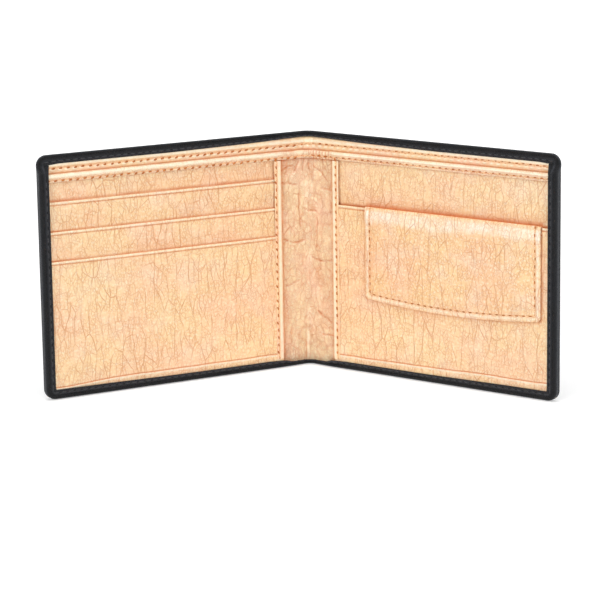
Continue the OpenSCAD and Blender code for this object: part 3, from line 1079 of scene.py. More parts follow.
@dataclass
class CoverSkin(Piece):
    """The black cover of one half, up to the middle of the spine, with its edges turned over.

    Args:
        top_lip: Places along the top edge and the lip's width at each.
        low_lip: The same along the bottom edge.
        side_lip: Width of the lip at the side, over the panels.
        thin_lip: Its width above the panels.
        corner_lip: Its width round the corners.
        round_off: Radius of the edge.
        seam_share: Where the stitches run across the lip.
    """

    top_lip: Table = ((0, 10, 27, 60, 109, 113, 118), (2.3, 2.4, 3.0, 3.5, 3.6, 3.95, 3.95))
    low_lip: Table = ((0, 10.5, 13, 20, 60, 96, 118), (1.8, 2.0, 2.8, 3.1, 3.2, 3.7, 3.8))
    side_lip: float = 3.8
    thin_lip: float = 5.0
    corner_lip: float = 3.9
    round_off: float = 1.2
    seam_share: float = 0.58

    def low_depth(self, u: Places) -> np.ndarray:
        """Thickness of the stack along the bottom edge, less across the spine."""
        return LAYOUT.depth - 0.5 * smooth(u, 14.0, 3.0)

    def profile(self, depth: float, lip: float, along: float) -> tuple[np.ndarray, np.ndarray]:
        """Section of the turned edge.

        Args:
            depth: Thickness of the stack that is held.
            lip: Width of the lip.
            along: Place along the edge, for its unevenness.

        Returns:
            Distances inward from the edge and depths, from the outer face round to the inner
            face, without the two ends that belong to the flat part.
        """
        r, cover, under_lip = min(self.round_off, depth * 0.45), LAYOUT.cover, depth - LAYOUT.lip
        arc = np.radians(np.linspace(0, 90, 8))
        turn_in = [(r - r * math.sin(a), r - r * math.cos(a)) for a in arc]
        turn_out = [(r - r * math.cos(a), depth - r + r * math.sin(a)) for a in arc]
        side = [(0.0, r + (depth - 2 * r) * share) for share in (0.2, 0.4, 0.6, 0.8)]
        shares = (0.06, 0.13, 0.2, 0.28, 0.37, 0.46, 0.53, 0.58, 0.63, 0.7, 0.8, 0.9, 1.0)
        rises = (-0.08, -0.17, -0.13, 0.0, 0.1, 0.1, -0.02, -0.1, -0.03, 0.08, 0.11, 0.08, -0.05)
        wave = 1 + 0.3 * float(noise(along / 9, 0.0, 51))
        lip_front = [(r + (lip - r) * share, depth + rise * wave) for share, rise in zip(shares, rises)]
        lip_back = [
            (lip - 0.02, depth - LAYOUT.lip * 0.6),
            (lip - 0.1, under_lip),
            (max(1.6, lip / 2), under_lip),
        ]
        hollow = [(cover + 0.35, under_lip), (cover, under_lip - 0.2), (cover, depth * 0.5 + 0.1)]
        hollow += [(cover, cover + 0.1), (cover + 0.2, cover)]
        flat_out, flat_in = [(3.0, 0.0), (2.0, 0.0)], [(1.8, cover), (2.8, cover)]
        points = flat_out + turn_in + side + turn_out + lip_front + lip_back + hollow + flat_in
        d, v = np.array(points).T
        return d, v

    def stations(self, us: np.ndarray, hs: np.ndarray) -> list[Station]:
        """Places along the top, the side and the bottom edge, with the two corners between.

        Args:
            us: Places along the flat part.
            hs: Heights of the flat part.

        Returns:
            The places in order.
        """
        last_u, last_h = len(us) - 1, len(hs) - 1
        turns = np.radians(np.arange(9, 90, 9))
        found = []
        for i, u in enumerate(us):
            lip = float(np.interp(u, *self.top_lip))
            found.append(Station(u, hs[-1], (0.0, 1.0), LAYOUT.top_depth, lip, (i, last_h)))
        for a in turns:
            way = (math.sin(a), math.cos(a))
            found.append(Station(us[-1], hs[-1], way, LAYOUT.top_depth, self.corner_lip, (last_u, last_h)))
        for j in range(last_h, -1, -1):
            thin = float(smooth(hs[j], 87.7, 91.0))
            depth = LAYOUT.depth + (LAYOUT.top_depth - LAYOUT.depth) * thin
            lip = self.corner_lip if j == 0 else self.side_lip + (self.thin_lip - self.side_lip) * thin
            found.append(Station(us[-1], hs[j], (1.0, 0.0), depth, lip, (last_u, j)))
        for a in turns:
            way = (math.cos(a), -math.sin(a))
            found.append(Station(us[-1], hs[0], way, LAYOUT.depth, self.corner_lip, (last_u, 0)))
        for i in range(last_u, -1, -1):
            depth, lip = float(self.low_depth(us[i])), float(np.interp(us[i], *self.low_lip))
            found.append(Station(us[i], hs[0], (0.0, -1.0), depth, lip, (i, 0)))
        return found

    def build(self) -> bpy.types.Object:
        """Builds the skin across the spine and its half.

        Returns:
            The skin.
        """
        w = LAYOUT.corner
        bend_u = LAYOUT.bend_radius * math.tan(LAYOUT.lean)
        us = steps((LAYOUT.middle, bend_u, 0.3), (bend_u, 16.0, 0.45), (16.0, LAYOUT.half_width - w, 1.6))
        hs = steps((w, 86.5, 1.5), (86.5, 88.7, 0.22), (88.7, LAYOUT.height - w, 0.6))
        nu, nh = len(us), len(hs)
        u, h = us[:, None], hs[None, :]
        dents = np.maximum(0.05 * layers(u / 18, h / 18, 61) * smooth(u, 18, 30), 0)
        points = [LAYOUT.place(self.side, u, v, h).reshape(-1, 3) for v in (dents, LAYOUT.cover)]
        outer = np.arange(nu * nh).reshape(nu, nh)
        inner = outer + nu * nh
        faces = quads(outer) + quads(inner, flip=True)
        count = 2 * nu * nh
        grain = [np.stack(np.broadcast_arrays(u, 0.0, h), axis=-1).reshape(-1, 3)] * 2
        painted_highlight = [np.zeros(count)]
        before: list[int] = []
        stations = self.stations(us, hs)
        for k, at in enumerate(stations):
            d, v = self.profile(at.depth, at.lip, k * 1.7)
            edge_u, edge_h = at.u + (w - d) * at.way[0], at.h + (w - d) * at.way[1]
            points.append(LAYOUT.place(self.side, edge_u, v, edge_h))
            grain.append(np.stack([edge_u, v, edge_h], axis=-1))
            # Painted highlight on the middle of the turned edge and on two ridges of the lip
            front = smooth(v, at.depth - 0.6, at.depth - 0.1)
            turned = smooth(d, 0.6, 0.1) * hump(v, 0.55 * at.depth, 0.24 * at.depth)
            painted_highlight.append(turned + front * (0.5 * hump(d, 2.4, 0.5) + 0.35 * hump(d, at.lip - 0.4, 0.3)))
            ring = [int(outer[at.cell]), *range(count, count + len(d)), int(inner[at.cell])]
            count += len(d)
            for corners in zip(before, before[1:], ring[1:], ring):
                face = list(dict.fromkeys(corners))
                if len(face) > 2:
                    faces.append(face)
            if k in (0, len(stations) - 1):
                faces.append(ring)
            before = ring
        end = np.stack([outer[0, :-1], outer[0, 1:], inner[0, 1:], inner[0, :-1]], axis=-1)
        faces += end.tolist()
        values = {
            GRAIN: np.concatenate(grain) / 100 * np.array([self.side.sign, 1, 1]),
            PAINTED_HIGHLIGHT: np.concatenate(painted_highlight),
        }
        made = mesh_object(f"{self.side.value}_cover_skin", np.concatenate(points), faces, values, BLACK)
        cross_fold(made)
        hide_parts(*self.nodes("cover"))
        return made

    def seams(self) -> list[Seam]:
        """The stitch row on the lips, and again on the outer face.

        Returns:
            Points and normals of each run.
        """
        us = steps((LAYOUT.middle + COVER_STITCH.pitch / 2, 114.0, 0.4))
        top, low, side = (
            self.round_off + (lip - self.round_off) * self.seam_share
            for lip in (np.interp(us, *self.top_lip), np.interp(us, *self.low_lip), self.side_lip)
        )
        rows = (
            (us, LAYOUT.top_depth, LAYOUT.height - top),
            (us, self.low_depth(us), low),
            (LAYOUT.half_width - side, LAYOUT.depth, steps((5.0, 84.0, 0.5))),
        )
        runs = []
        for u, depth, h in rows:
            runs += [sew(self.side, u, depth - 0.05, h), sew(self.side, u, 0.04, h, outward=True)]
        return runs


def cross_fold(piece: bpy.types.Object) -> None:
    """Bakes a piece's placement into its mesh; the piece is not bent across the fold."""
    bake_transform(piece)


@dataclass
class BillLining(Piece):
    """Lining of the bill compartment, with a folded band under the top lip.

    Args:
        row: Height of its stitch row.
    """

    row: float = 89.75

    def face(self, u: np.ndarray, h: np.ndarray) -> np.ndarray:
        """Depth of the side that shows.

        Args:
            u: Distances from the point of the spine.
            h: Heights.

        Returns:
            Depths in millimetres.
        """
        band = smooth(h, self.row + 0.1, self.row + 0.75) * smooth(h, 92.6, 91.9)
        puckers = 0.22 * hump(h, self.row - 0.95, 0.45) * (0.5 + 0.5 * stitch_wave(u))
        groove = -0.12 * hump(h, self.row, 0.22)
        return LAYOUT.lining[1] + 0.32 * band + puckers + groove + 0.04 * noise(u / 3, h / 2, 71)

    def build(self) -> bpy.types.Object:
        """Builds the lining across the spine and its half.

        Returns:
            The lining.
        """
        hs = steps((LAYOUT.tuck, 86.5, 4.0), (86.5, 92.6, 0.16), (92.6, LAYOUT.height - LAYOUT.tuck, 0.7))
        u, h = np.meshgrid(LAYOUT.across_fold(), hs, indexing="ij")
        # Painted shade at the stitch row and in the gap above the hem; painted highlight on the raised band
        # and on the puckers between stitches
        deep = 0.4 * hump(h, self.row, 0.26) + 0.6 * smooth(h, 88.15, 87.8)
        scallops = 0.9 * hump(h, self.row - 0.95, 0.42) * (0.55 + 0.45 * stitch_wave(u))
        painted_highlight = 0.95 * hump(h, 91.0, 0.65) + scallops
        round_u, round_h = LAYOUT.within_corners(u, h)
        front, back = (round_u, self.face(u, h), round_h), (round_u, LAYOUT.lining[0], round_h)
        made = self.sheet(f"{self.side.value}_lining_sheet", front, back, self.values(u, h, deep, painted_highlight), HEM)
        cross_fold(made)
        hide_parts(*self.nodes("bill_lining"))
        return made


# Section of the hem, from the wall over the top and down: outer h, outer v, inner h, inner v
HEM_SECTION = np.array(
    [
        (84.2, 1.5, 84.2, 1.85),
        (85.6, 1.5, 85.4, 1.85),
        (86.6, 1.5, 86.4, 1.85),
        (87.1, 1.53, 86.8, 1.88),
        (87.4, 1.7, 87.0, 2.0),
        (87.55, 1.95, 87.12, 2.15),
        (87.62, 2.25, 87.18, 2.35),
        (87.6, 2.6, 87.16, 2.52),
        (87.5, 2.9, 87.05, 2.66),
        (87.3, 3.15, 86.85, 2.76),
        (87.0, 3.32, 86.6, 2.8),
        (86.7, 3.4, 86.4, 2.8),
        (86.4, 3.41, 86.2, 2.8),
        (86.1, 3.36, 86.0, 2.8),
        (85.85, 3.25, 85.8, 2.8),
        (85.6, 3.12, 85.55, 2.8),
        (85.35, 3.04, 85.35, 2.8),
        (85.1, 3.1, 85.1, 2.8),
        (84.85, 3.17, 84.85, 2.8),
        (84.6, 3.16, 84.62, 2.8),
        (84.45, 3.06, 84.5, 2.82),
        (84.4, 2.95, 84.45, 2.86),
    ]
)

# Folds that cross the bare strip, as runs of places (x across the wallet, height)
SPINE_FOLDS = (
    ((-13.1, 80.1), (-9.4, 81.4), (-6.1, 80.8)),
    ((-13.4, 75.0), (-9.4, 74.4), (-6.1, 73.7)),
    ((3.6, 81.0), (7.9, 78.4), (10.6, 75.4)),
    ((7.4, 72.2), (12.6, 72.2)),
    ((-3.4, 63.9), (0.0, 62.6), (4.7, 63.0)),
    ((-2.5, 83.6), (-3.4, 79.0)),
    ((0.4, 83.8), (0.9, 79.6)),
    ((-5.2, 82.8), (-7.6, 78.6)),
    ((5.1, 21.7), (11.9, 17.9)),
    ((5.8, 12.8), (9.2, 12.0), (12.5, 12.6)),
    ((-12.0, 52.0), (-8.0, 50.2), (-3.0, 51.0)),
    ((2.0, 44.0), (7.0, 42.4), (12.0, 43.6)),
    ((-11.5, 33.0), (-6.0, 34.2)),
    ((-5.4, 70.0), (-5.0, 56.0)),
    ((5.4, 60.0), (5.0, 48.0)),
)


@dataclass
class CompartmentFront(Piece):
    """Front wall of the bill compartment: hemmed over the panel, bare across the spine.

    Args:
        row: Height of its stitch row.
        row_v: Depth of the hem under the row.
        foot: Height where the wall ends and the hem's section begins.
        turned: How much of the sheet is turned over as hem; not used.
    """

    row: float = 85.35
    row_v: float = 3.04
    foot: float = 84.2
    turned: float = 5.0

    def flatness(self, u: np.ndarray) -> np.ndarray:
        """How flat the hem is pressed: 1 across the spine, 0 over the panels."""
        return smooth(u, 15.5, 11.0)

    def pressed(self, u: np.ndarray, v: Places) -> np.ndarray:
        """Depths of the hem, less where it is pressed flat."""
        wall = LAYOUT.wall[1]
        return np.where(v > wall, wall + (v - wall) * (1 - 0.42 * self.flatness(u)), v)

    def seam(self) -> Seam:
        """Points and normals of the hem's stitch row.

        Returns:
            The points and their normals.
        """
        us = steps((LAYOUT.middle + STITCH.pitch / 2, 112.6, 0.4))
        depth = self.pressed(us, self.row_v) + 0.12 + 0.12 * self.flatness(us)
        drop = 0.35 * smooth(us, 14.0, 9.0) * 0.7
        return sew(self.side, us, depth, self.row - drop)

    def build(self) -> bpy.types.Object:
        """Builds the wall across the spine and its half.

        Returns:
            The wall.
        """
        low = steps((LAYOUT.tuck, self.foot, 0.55))[:-1]
        near_side, far_side = (np.full_like(low, v) for v in LAYOUT.wall)
        wall = np.stack([low, near_side, low, far_side], axis=-1)
        section = np.concatenate([wall, HEM_SECTION]).T
        u, out_h, out_v, in_h, in_v = np.broadcast_arrays(LAYOUT.across_fold()[:, None], *section)
        flat, on_hem = self.flatness(u), smooth(out_v, 2.6, 3.0)
        pleats = layers(self.side.sign * u / 1.1, out_h / 9, 81, 2)
        bare = smooth(u, 15.0, 12.5) * smooth(in_h, 2.0, 6.0) * smooth(in_h, 86.0, 83.0)
        gather = smooth(u, 14.0, 9.0) * smooth(out_h, 80, 87)
        front_v = self.pressed(u, out_v) + on_hem * (0.03 + 0.2 * flat) * pleats
        front_h = out_h - 0.35 * gather * (0.6 + 0.4 * noise(u / 2.2, 0.0, 91))
        back_v = self.pressed(u, in_v) + bare * self.wrinkles(u, in_h) * (in_v < 1.9)
        back_h = in_h - 0.35 * gather * 0.6
        deep, painted_highlight = self.painted_shade_and_highlight(u, out_h, out_v, front_h)
        unfolded = front_h + np.where(front_v > 2.2, 2 * (LAYOUT.hem_top - front_h), 0)
        made = self.sheet(
            f"{self.side.value}_compartment_wall",
            (u, front_v, front_h),
            (u, back_v, back_h),
            self.values(u, unfolded, deep, painted_highlight),
            SPINE,
        )
        cross_fold(made)
        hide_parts(*self.nodes("bill_front"))
        return made

    def painted_shade_and_highlight(
        self, u: np.ndarray, h: np.ndarray, v: np.ndarray, front_h: np.ndarray
    ) -> tuple[np.ndarray, np.ndarray]:
        """Painted shade and painted highlight of the wall and its hem.

        Args:
            u: Distances from the point of the spine.
            h: Heights on the plain section.
            v: Depths on the plain section.
            front_h: Heights as gathered.

        Returns:
            The painted shade in seams, creases and along the binding, and the painted highlight on ridges and
            puckers.
        """
        flat, on_hem = self.flatness(u), smooth(v, 2.6, 3.0)
        outside, inside = v > 2.7, v < 2
        # Painted shade at the hem's stitch row and under its lower edge
        deep = (0.75 * hump(h, self.row, 0.22) + 0.6 * smooth(h, 84.62, 84.42)) * outside
        if self.side is Side.RIGHT:
            # Painted shade in the hem's pleats
            deep += 0.4 * hump(h, 86.35, 0.15) * on_hem * (1 - flat)
            deep += 0.6 * on_hem * flat * (0.5 + 0.5 * np.cos(2 * math.pi * u / 1.5)) ** 2
        # Painted shade along the binding beside the bare strip, and in the strip's creases
        edge = 0.5 * hump(u, 13.1, 0.45) + 0.16 * hump(u, 12.2, 1.3)
        edge += 0.3 * flat * creases(self.side.sign * u / 3.2, h / 6, 101, 0.1)
        deep += edge * inside + 0.55 * (v < 1.6) * smooth(h, 82.8, 84.6)
        # Painted highlight on the hem's ridge and on the puckers between stitches
        scallop = 0.5 + 0.5 * stitch_wave(u)
        painted_highlight = 0.95 * hump(h, 86.75, 0.65) * on_hem * (1 - 0.4 * flat)
        painted_highlight += 1.1 * hump(h, self.row - 0.6, 0.36) * on_hem * scallop * (0.3 + 0.7 * flat)
        # Painted shade in the folds and painted highlight on their ridges
        lines, bright = self.fold_lines(u, front_h)
        return deep + 0.6 * lines * inside, painted_highlight + 0.6 * bright * inside

    def wrinkles(self, u: np.ndarray, h: np.ndarray) -> np.ndarray:
        """Relief of the creased leather across the spine.

        Args:
            u: Distances from the point of the spine.
            h: Heights.

        Returns:
            The rise in millimetres.
        """
        across = self.side.sign * u
        fine = creases(across / 3.4, h / 5.5, 111, 0.14) + 0.7 * creases(across / 5.2, h / 3.1, 117, 0.12)
        broad = 0.16 * layers(across / 6, h / 12, 121) + 0.12 * hump(u, 2.0, 1.6) * smooth(h, 22, 8)
        fan = smooth(h, 70, 84) * 0.12 * np.cos((across + 30) * 1.9 * (1 + (84 - h) / 40))
        lines, bright = self.fold_lines(u, h)
        return broad + fan - 0.24 * np.clip(fine, 0, 1) - 0.3 * lines + 0.2 * bright

    def fold_lines(self, u: np.ndarray, h: np.ndarray) -> tuple[np.ndarray, np.ndarray]:
        """The folds that cross the bare strip, and the ridge at its bottom.

        Args:
            u: Distances from the spine.
            h: Heights.

        Returns:
            How deep each place lies in a fold, and how far it stands on a ridge, from 0 to 1; both shape the
            relief, and the painted shade and painted highlight.
        """
        x = u * self.side.sign
        bent_x, bent_h = x + 0.35 * noise(x / 2, h / 2, 161), h + 0.35 * noise(x / 2, h / 2, 163)
        lines, bright = np.zeros_like(x), np.zeros_like(x)
        for run in SPINE_FOLDS:
            for (x0, h0), (x1, h1) in zip(run, run[1:]):
                dx, dh = x1 - x0, h1 - h0
                share = np.clip(((bent_x - x0) * dx + (bent_h - h0) * dh) / (dx**2 + dh**2), 0, 1)
                away_x, away_h = bent_x - x0 - share * dx, bent_h - h0 - share * dh
                lines = np.maximum(lines, np.exp(-(away_x**2 + away_h**2) / 0.28**2))
                bright = np.maximum(bright, 0.6 * np.exp(-(away_x**2 + (away_h + 0.7) ** 2) / 0.4**2))
        bright = np.maximum(bright, hump(x, -1.3, 0.95) * smooth(h, 15, 12) * smooth(h, 1, 4))
        lines = np.maximum(lines, 0.7 * (hump(x, -2.8, 0.25) + hump(x, 0.2, 0.25)) * smooth(h, 15, 12))
        return lines, bright


# Section of the binding, from behind the panel round its edge to the front: outer u, outer v,
# inner u, inner v
BINDING_SECTION = np.array(
    [
        (17.3, 1.9, 17.3, 2.1),
        (15.5, 1.9, 15.5, 2.1),
        (14.5, 1.9, 14.6, 2.1),
        (14.25, 2.0, 14.45, 2.2),
        (14.2, 2.4, 14.4, 2.5),
        (14.2, 3.0, 14.4, 3.0),
        (14.2, 3.4, 14.4, 3.35),
        (14.3, 3.62, 14.5, 3.5),
        (14.5, 3.78, 14.7, 3.55),
        (14.8, 3.88, 14.9, 3.56),
        (15.2, 3.92, 15.2, 3.56),
        (15.5, 3.89, 15.5, 3.56),
        (15.8, 3.79, 15.8, 3.55),
        (16.05, 3.67, 16.05, 3.55),
        (16.3, 3.62, 16.3, 3.55),
        (16.55, 3.66, 16.55, 3.55),
        (16.75, 3.74, 16.75, 3.55),
        (16.95, 3.78, 16.95, 3.55),
        (17.15, 3.72, 17.15, 3.55),
        (17.3, 3.6, 17.3, 3.55),
    ]
)


@dataclass
class PanelBinding(Piece):
    """The strip folded round a panel's inner edge.

    Args:
        row: Where its stitch row runs, outward from the spine.
        row_v: Depth of the row.
        low: Height of its lower end.
        high: Height of its upper end.
    """

    row: float = 16.3
    row_v: float = 3.74
    low: float = 3.65
    high: float = 84.15

    def edge_light(self, h: np.ndarray) -> np.ndarray:
        """How strong the painted highlight on the strip's far edge is: most above the coin panel."""
        return 0.9 * smooth(h, 66.0, 67.0) if self.side is Side.RIGHT else np.full_like(h, 0.15)

    def seam(self) -> Seam:
        """Points and normals of the stitch row."""
        return sew(self.side, self.row, self.row_v, steps((5.0, 83.2, 0.5)))

    def build(self) -> bpy.types.Object:
        """Builds the strip and gives it to its half.

        Returns:
            The strip.
        """
        hs = steps((self.low, self.high, 0.8))
        h, out_u, out_v, in_u, in_v = np.broadcast_arrays(hs[:, None], *BINDING_SECTION.T)
        wave = 0.05 * noise(h / 4, 0.0, 131)
        front_v = out_v + np.where(out_v > 3.5, 0.05 * layers(h / 3, out_u, 133, 2), 0)
        shows = out_v > 3
        # Painted shade at the stitch row, behind the edge and on the back; painted highlight on the fold's
        # ridge and the far edge
        deep = 0.7 * hump(out_u, self.row, 0.2) * shows + 0.5 * (out_u > 17.2) + 0.6 * (out_v < 2.6)
        painted_highlight = (0.95 * hump(out_u, 15.1, 0.6) + self.edge_light(h) * hump(out_u, 17.0, 0.25)) * shows
        made = self.sheet(
            f"{self.side.value}_binding_strip",
            (out_u + wave, front_v, h),
            (in_u + wave, in_v, h),
            self.values(out_u + wave + out_v, h, deep, painted_highlight),
            HEM,
        )
        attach(made, self.side.body)
        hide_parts(f"{self.side.value}_panel_binding")
        return made


# Distances in from a free edge of the flap at which its points stand
RIM_ROWS = np.array(
    [0.0, 0.03, 0.08, 0.15, 0.25, 0.4, 0.6, 0.85, 1.15, 1.45]
    + [1.75, 2.0, 2.15, 2.25, 2.35, 2.45, 2.6, 2.9, 3.3]
)

# Section of the flap's rolled fold: outer h, outer v from the face, inner h, inner v from the face
FOLD_SECTION = np.array(
    [
        (66.1, -0.02, 65.95, -0.42),
        (66.5, -0.08, 66.2, -0.46),
        (66.85, -0.22, 66.45, -0.52),
        (67.1, -0.4, 66.62, -0.6),
        (67.25, -0.6, 66.72, -0.7),
        (67.3, -0.8, 66.75, -0.8),
        (67.25, -1.0, 66.72, -0.95),
        (67.1, -1.2, 66.62, -1.15),
        (66.95, -1.4, 66.52, -1.38),
        (66.88, -1.6, 66.48, -1.6),
    ]
)

# The same in the pocket's mouth, where the depths are those of the pocket
MOUTH_SECTION = np.array(
    [(66.85, 2.95, 66.45, 3.15), (66.8, 2.75, 66.36, 3.05), (66.6, 2.6, 66.24, 2.92), (66.3, 2.5, 66.15, 2.8)]
)


@dataclass
class FlapPlaces:
    """Places of the flap's two sides, from the pocket's mouth over the fold to the lower edge.

    Args:
        u: Distances from the point of the spine.
        front_h: Heights of the side that shows.
        front_v: Its depths.
        back_h: Heights of the other side.
        back_v: Its depths.
        on_fold: 1 on the rolled fold and 0 on the face.
    """

    u: np.ndarray
    front_h: np.ndarray
    front_v: np.ndarray
    back_h: np.ndarray
    back_v: np.ndarray
    on_fold: np.ndarray


@dataclass
class CoinFlap(Piece):
    """The flap of the coin pocket, its root inside the pocket and its lining.

    Args:
        side: The half that it belongs to.
        start: Its left edge, outward from the spine.
        end: Its right edge.
        low: Height of the lowest point of the bowed edge.
        top: Height of the fold's top.
        sag: How far the bowed edge rises to its ends.
        corner: Radius of the two free corners.
        rounding: Radius of the free edges.
        thickness: Thickness where the edge is turned back.
        leather: Thickness of the leather alone.
        turn: Width of the edge that is turned back.
        row: Distance of the stitch row from the edge.
        face_v: Depth of the flap's front.
        fold_h: Height of the fold.
        root: Height of the part inside the pocket.
        root_v: Depths of that part's two sides.
        bend: Heights where the flap's bend starts and ends; not used.
    """

    side: Side = Side.RIGHT
    start: float = 30.5
    end: float = 111.3
    low: float = 28.1
    top: float = 67.3
    sag: float = 2.4
    corner: float = 1.5
    rounding: float = 0.3
    thickness: float = 0.65
    leather: float = 0.4
    turn: float = 2.2
    row: float = 2.35
    face_v: float = 5.15
    fold_h: float = 66.7
    root: float = 12.0
    root_v: tuple[float, float] = (2.79, 2.51)
    bend: tuple[float, float] = (66.1, 61.6)

    def low_edge(self, u: Places) -> np.ndarray:
        """Height of the bowed lower edge."""
        mid, half = (self.start + self.end) / 2, (self.end - self.start) / 2
        return self.low + self.sag * ((u - mid) / half) ** 2

    def near_edge(self, u: np.ndarray, h: np.ndarray) -> np.ndarray:
        """Distance to the nearest of the flap's three free edges."""
        return np.minimum(np.minimum(u - self.start, self.end - u), h - self.low_edge(u))

    def face(self, u: np.ndarray, h: np.ndarray) -> np.ndarray:
        """Depth of the flap's front, below the fold and away from its rim.

        Args:
            u: Distances from the point of the spine.
            h: Heights.

        Returns:
            Depths in millimetres.
        """
        near = self.near_edge(u, h)
        droop = 0.75 * (1 - smooth(near, 0.0, 7.0)) * smooth(h, 66.5, 58.0)
        back = 0.75 * smooth(h, 60.5, 67.3) ** 1.4
        ridge = 0.16 * hump(near, 1.15, 0.75) - 0.2 * hump(near, self.row, 0.34)
        ridge = ridge + 0.1 * smooth(near, 2.6, 5.0)
        pillow = 0.18 * layers(u / 22, h / 16, 141) + 0.05 * noise(u / 4, h / 9, 143)
        return self.face_v - droop - back + ridge + pillow * smooth(near, 1.0, 8.0)

    def places(self, us: np.ndarray) -> FlapPlaces:
        """Places of the leather's two sides.

        Args:
            us: Places along the flap.

        Returns:
            The places, with one row of points for each place along the flap.
        """
        top, last = self.fold_h - 1.0, RIM_ROWS[-1]
        low, share = self.low_edge(us)[:, None], np.linspace(0, 1, 44)[1:]
        h = np.concatenate([low + RIM_ROWS, low + last + (top - low - last) * share], axis=1)[:, ::-1]
        u = np.repeat(us[:, None], h.shape[1], axis=1)
        near = self.near_edge(u, h)
        inset = np.clip(self.rounding - near, 0, self.rounding)
        fall = self.rounding - np.sqrt(np.maximum(self.rounding**2 - inset**2, 0))
        front = self.face(u, h) - fall
        thick = np.where(near < self.turn, self.thickness, self.leather)
        back = np.minimum(self.face(u, h) - thick + fall * 0.9, front - 0.02)
        from_face = self.face(us, np.full_like(us, top))[:, None] * np.array([0, 1, 0, 1])
        fold = from_face[:, None, :] + FOLD_SECTION
        mouth = np.repeat(MOUTH_SECTION[None], len(us), axis=0)
        over = np.concatenate([fold, mouth], axis=1)[:, ::-1]
        return FlapPlaces(
            u=np.concatenate([np.repeat(us[:, None], over.shape[1], 1), u], axis=1),
            front_h=np.concatenate([over[..., 0], h], axis=1),
            front_v=np.concatenate([over[..., 1], front], axis=1),
            back_h=np.concatenate([over[..., 2], h], axis=1),
            back_v=np.concatenate([over[..., 3], back], axis=1),
            on_fold=np.concatenate([np.ones_like(over[..., 0]), np.zeros_like(h)], axis=1),
        )

    def build(self) -> list[bpy.types.Object]:
        """Builds the flap, its lining and its root."""
        return [self.build_leather(), self.build_lining(), self.build_root()]

    def build_leather(self) -> bpy.types.Object:
        """Builds the flap's leather.

        Returns:
            The leather.
        """
        inner = steps((self.start + RIM_ROWS[-1], self.end - RIM_ROWS[-1], 0.8))[1:-1]
        at = self.places(np.concatenate([self.start + RIM_ROWS, inner, (self.end - RIM_ROWS)[::-1]]))
        near = self.near_edge(at.u, np.minimum(at.front_h, 66.0))
        on_face = 1 - at.on_fold
        # Painted shade at the stitch row and in the fold
        deep = 0.55 * hump(near, self.row, 0.22) * on_face + 0.2 * at.on_fold * (at.front_v < 4.3)
        # Painted highlight: a ragged band below the fold, the rim's ridge and the fold's top
        broken = 0.78 + 0.45 * layers(at.u / 2.6, at.front_h / 3.4, 151)
        ragged = 1.1 * layers(at.u / 7, 0.0, 153)
        band = smooth(at.front_h, 60.4 + ragged, 62.6 + ragged) * smooth(at.front_h, 67.6, 66.4)
        painted_highlight = on_face * (0.6 * hump(near, 1.2, 0.6) + 0.85 * band * broken)
        painted_highlight += at.on_fold * smooth(at.front_v, 4.3, 4.8) * 0.3
        u, front_h, back_h = at.u, at.front_h, at.back_h
        base = self.low_edge(at.u) + self.corner
        for middle, sign in ((self.start + self.corner, -1), (self.end - self.corner, 1)):
            moved = ((u - middle) * sign > 0) & (front_h < base)
            round_u, round_h = into_corner(u, front_h - base, (middle, 0.0), (sign, -1), self.corner)
            u = np.where(moved, round_u, u)
            front_h = np.where(moved, round_h + base, front_h)
            back_h = np.where(moved, round_h + base, back_h)
        values = self.values(at.u, at.front_h, deep, painted_highlight)
        made = self.sheet("coin_flap_leather", (u, at.front_v, front_h), (u, at.back_v, back_h), values, FLAP)
        self.bend_at_fold(made)
        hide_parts("coin_flap")
        return made

    def build_lining(self) -> bpy.types.Object:
        """Builds the lining between the turned edges.

        Returns:
            The lining.
        """
        inset = self.turn + 0.05
        us = steps((self.start + inset, self.end - inset, 0.9))
        low = self.low_edge(us)[:, None] + inset
        h = low + (self.fold_h - 0.7 - low) * np.linspace(0, 1, 40)
        u = np.repeat(us[:, None], h.shape[1], axis=1)
        front, back = self.face(u, h) - self.leather - 0.02, self.face(u, h) - self.thickness
        plain = np.zeros_like(u)
        values = self.values(u, h, plain, plain)
        made = self.sheet("coin_flap_lining_sheet", (u, front, h), (u, back, h), values, HEM)
        self.bend_at_fold(made)
        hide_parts("coin_flap_lining")
        return made

    def build_root(self) -> bpy.types.Object:
        """Builds the part of the flap that hangs inside the pocket and stays with the half.

        Returns:
            The root.
        """
        us = steps((self.start, self.end, 1.0))
        share = np.linspace(0, 1, 14)[None, :]
        u = np.repeat(us[:, None], share.size, axis=1)
        low = self.fold_h - self.root
        front_h, back_h = low + (66.14 - low) * share, low + (66.29 - low) * share
        front_v, back_v = (v + 0.05 * layers(u / 14, front_h / 9, 171) * (1 - share) for v in self.root_v)
        # Painted shade over the whole root inside the pocket
        values = self.values(u, front_h - 20, np.full_like(u, 0.25), np.zeros_like(u))
        made = self.sheet("coin_flap_root_sheet", (u, front_v, front_h), (u, back_v, back_h), values, FLAP)
        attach(made, self.side.body)
        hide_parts("flap_root")
        return made

    def bend_at_fold(self, piece: bpy.types.Object) -> None:
        """Bakes a piece's placement into its mesh; the piece is not bent at the fold."""
        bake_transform(piece)

    def seam(self) -> Seam:
        """Points and normals of the stitch row along the three free edges.

        Returns:
            The points and their normals.
        """
        left, right = self.start + self.row, self.end - self.row
        down = steps((65.2, float(self.low_edge(left)) + self.row, 0.5))
        across = steps((left, right, 0.5))
        u = np.concatenate([np.full_like(down, left), across[1:-1], np.full_like(down, right)])
        h = np.concatenate([down, self.low_edge(across)[1:-1] + self.row, down[::-1]])
        return sew(self.side, u, self.face(u, h) + 0.1, h)


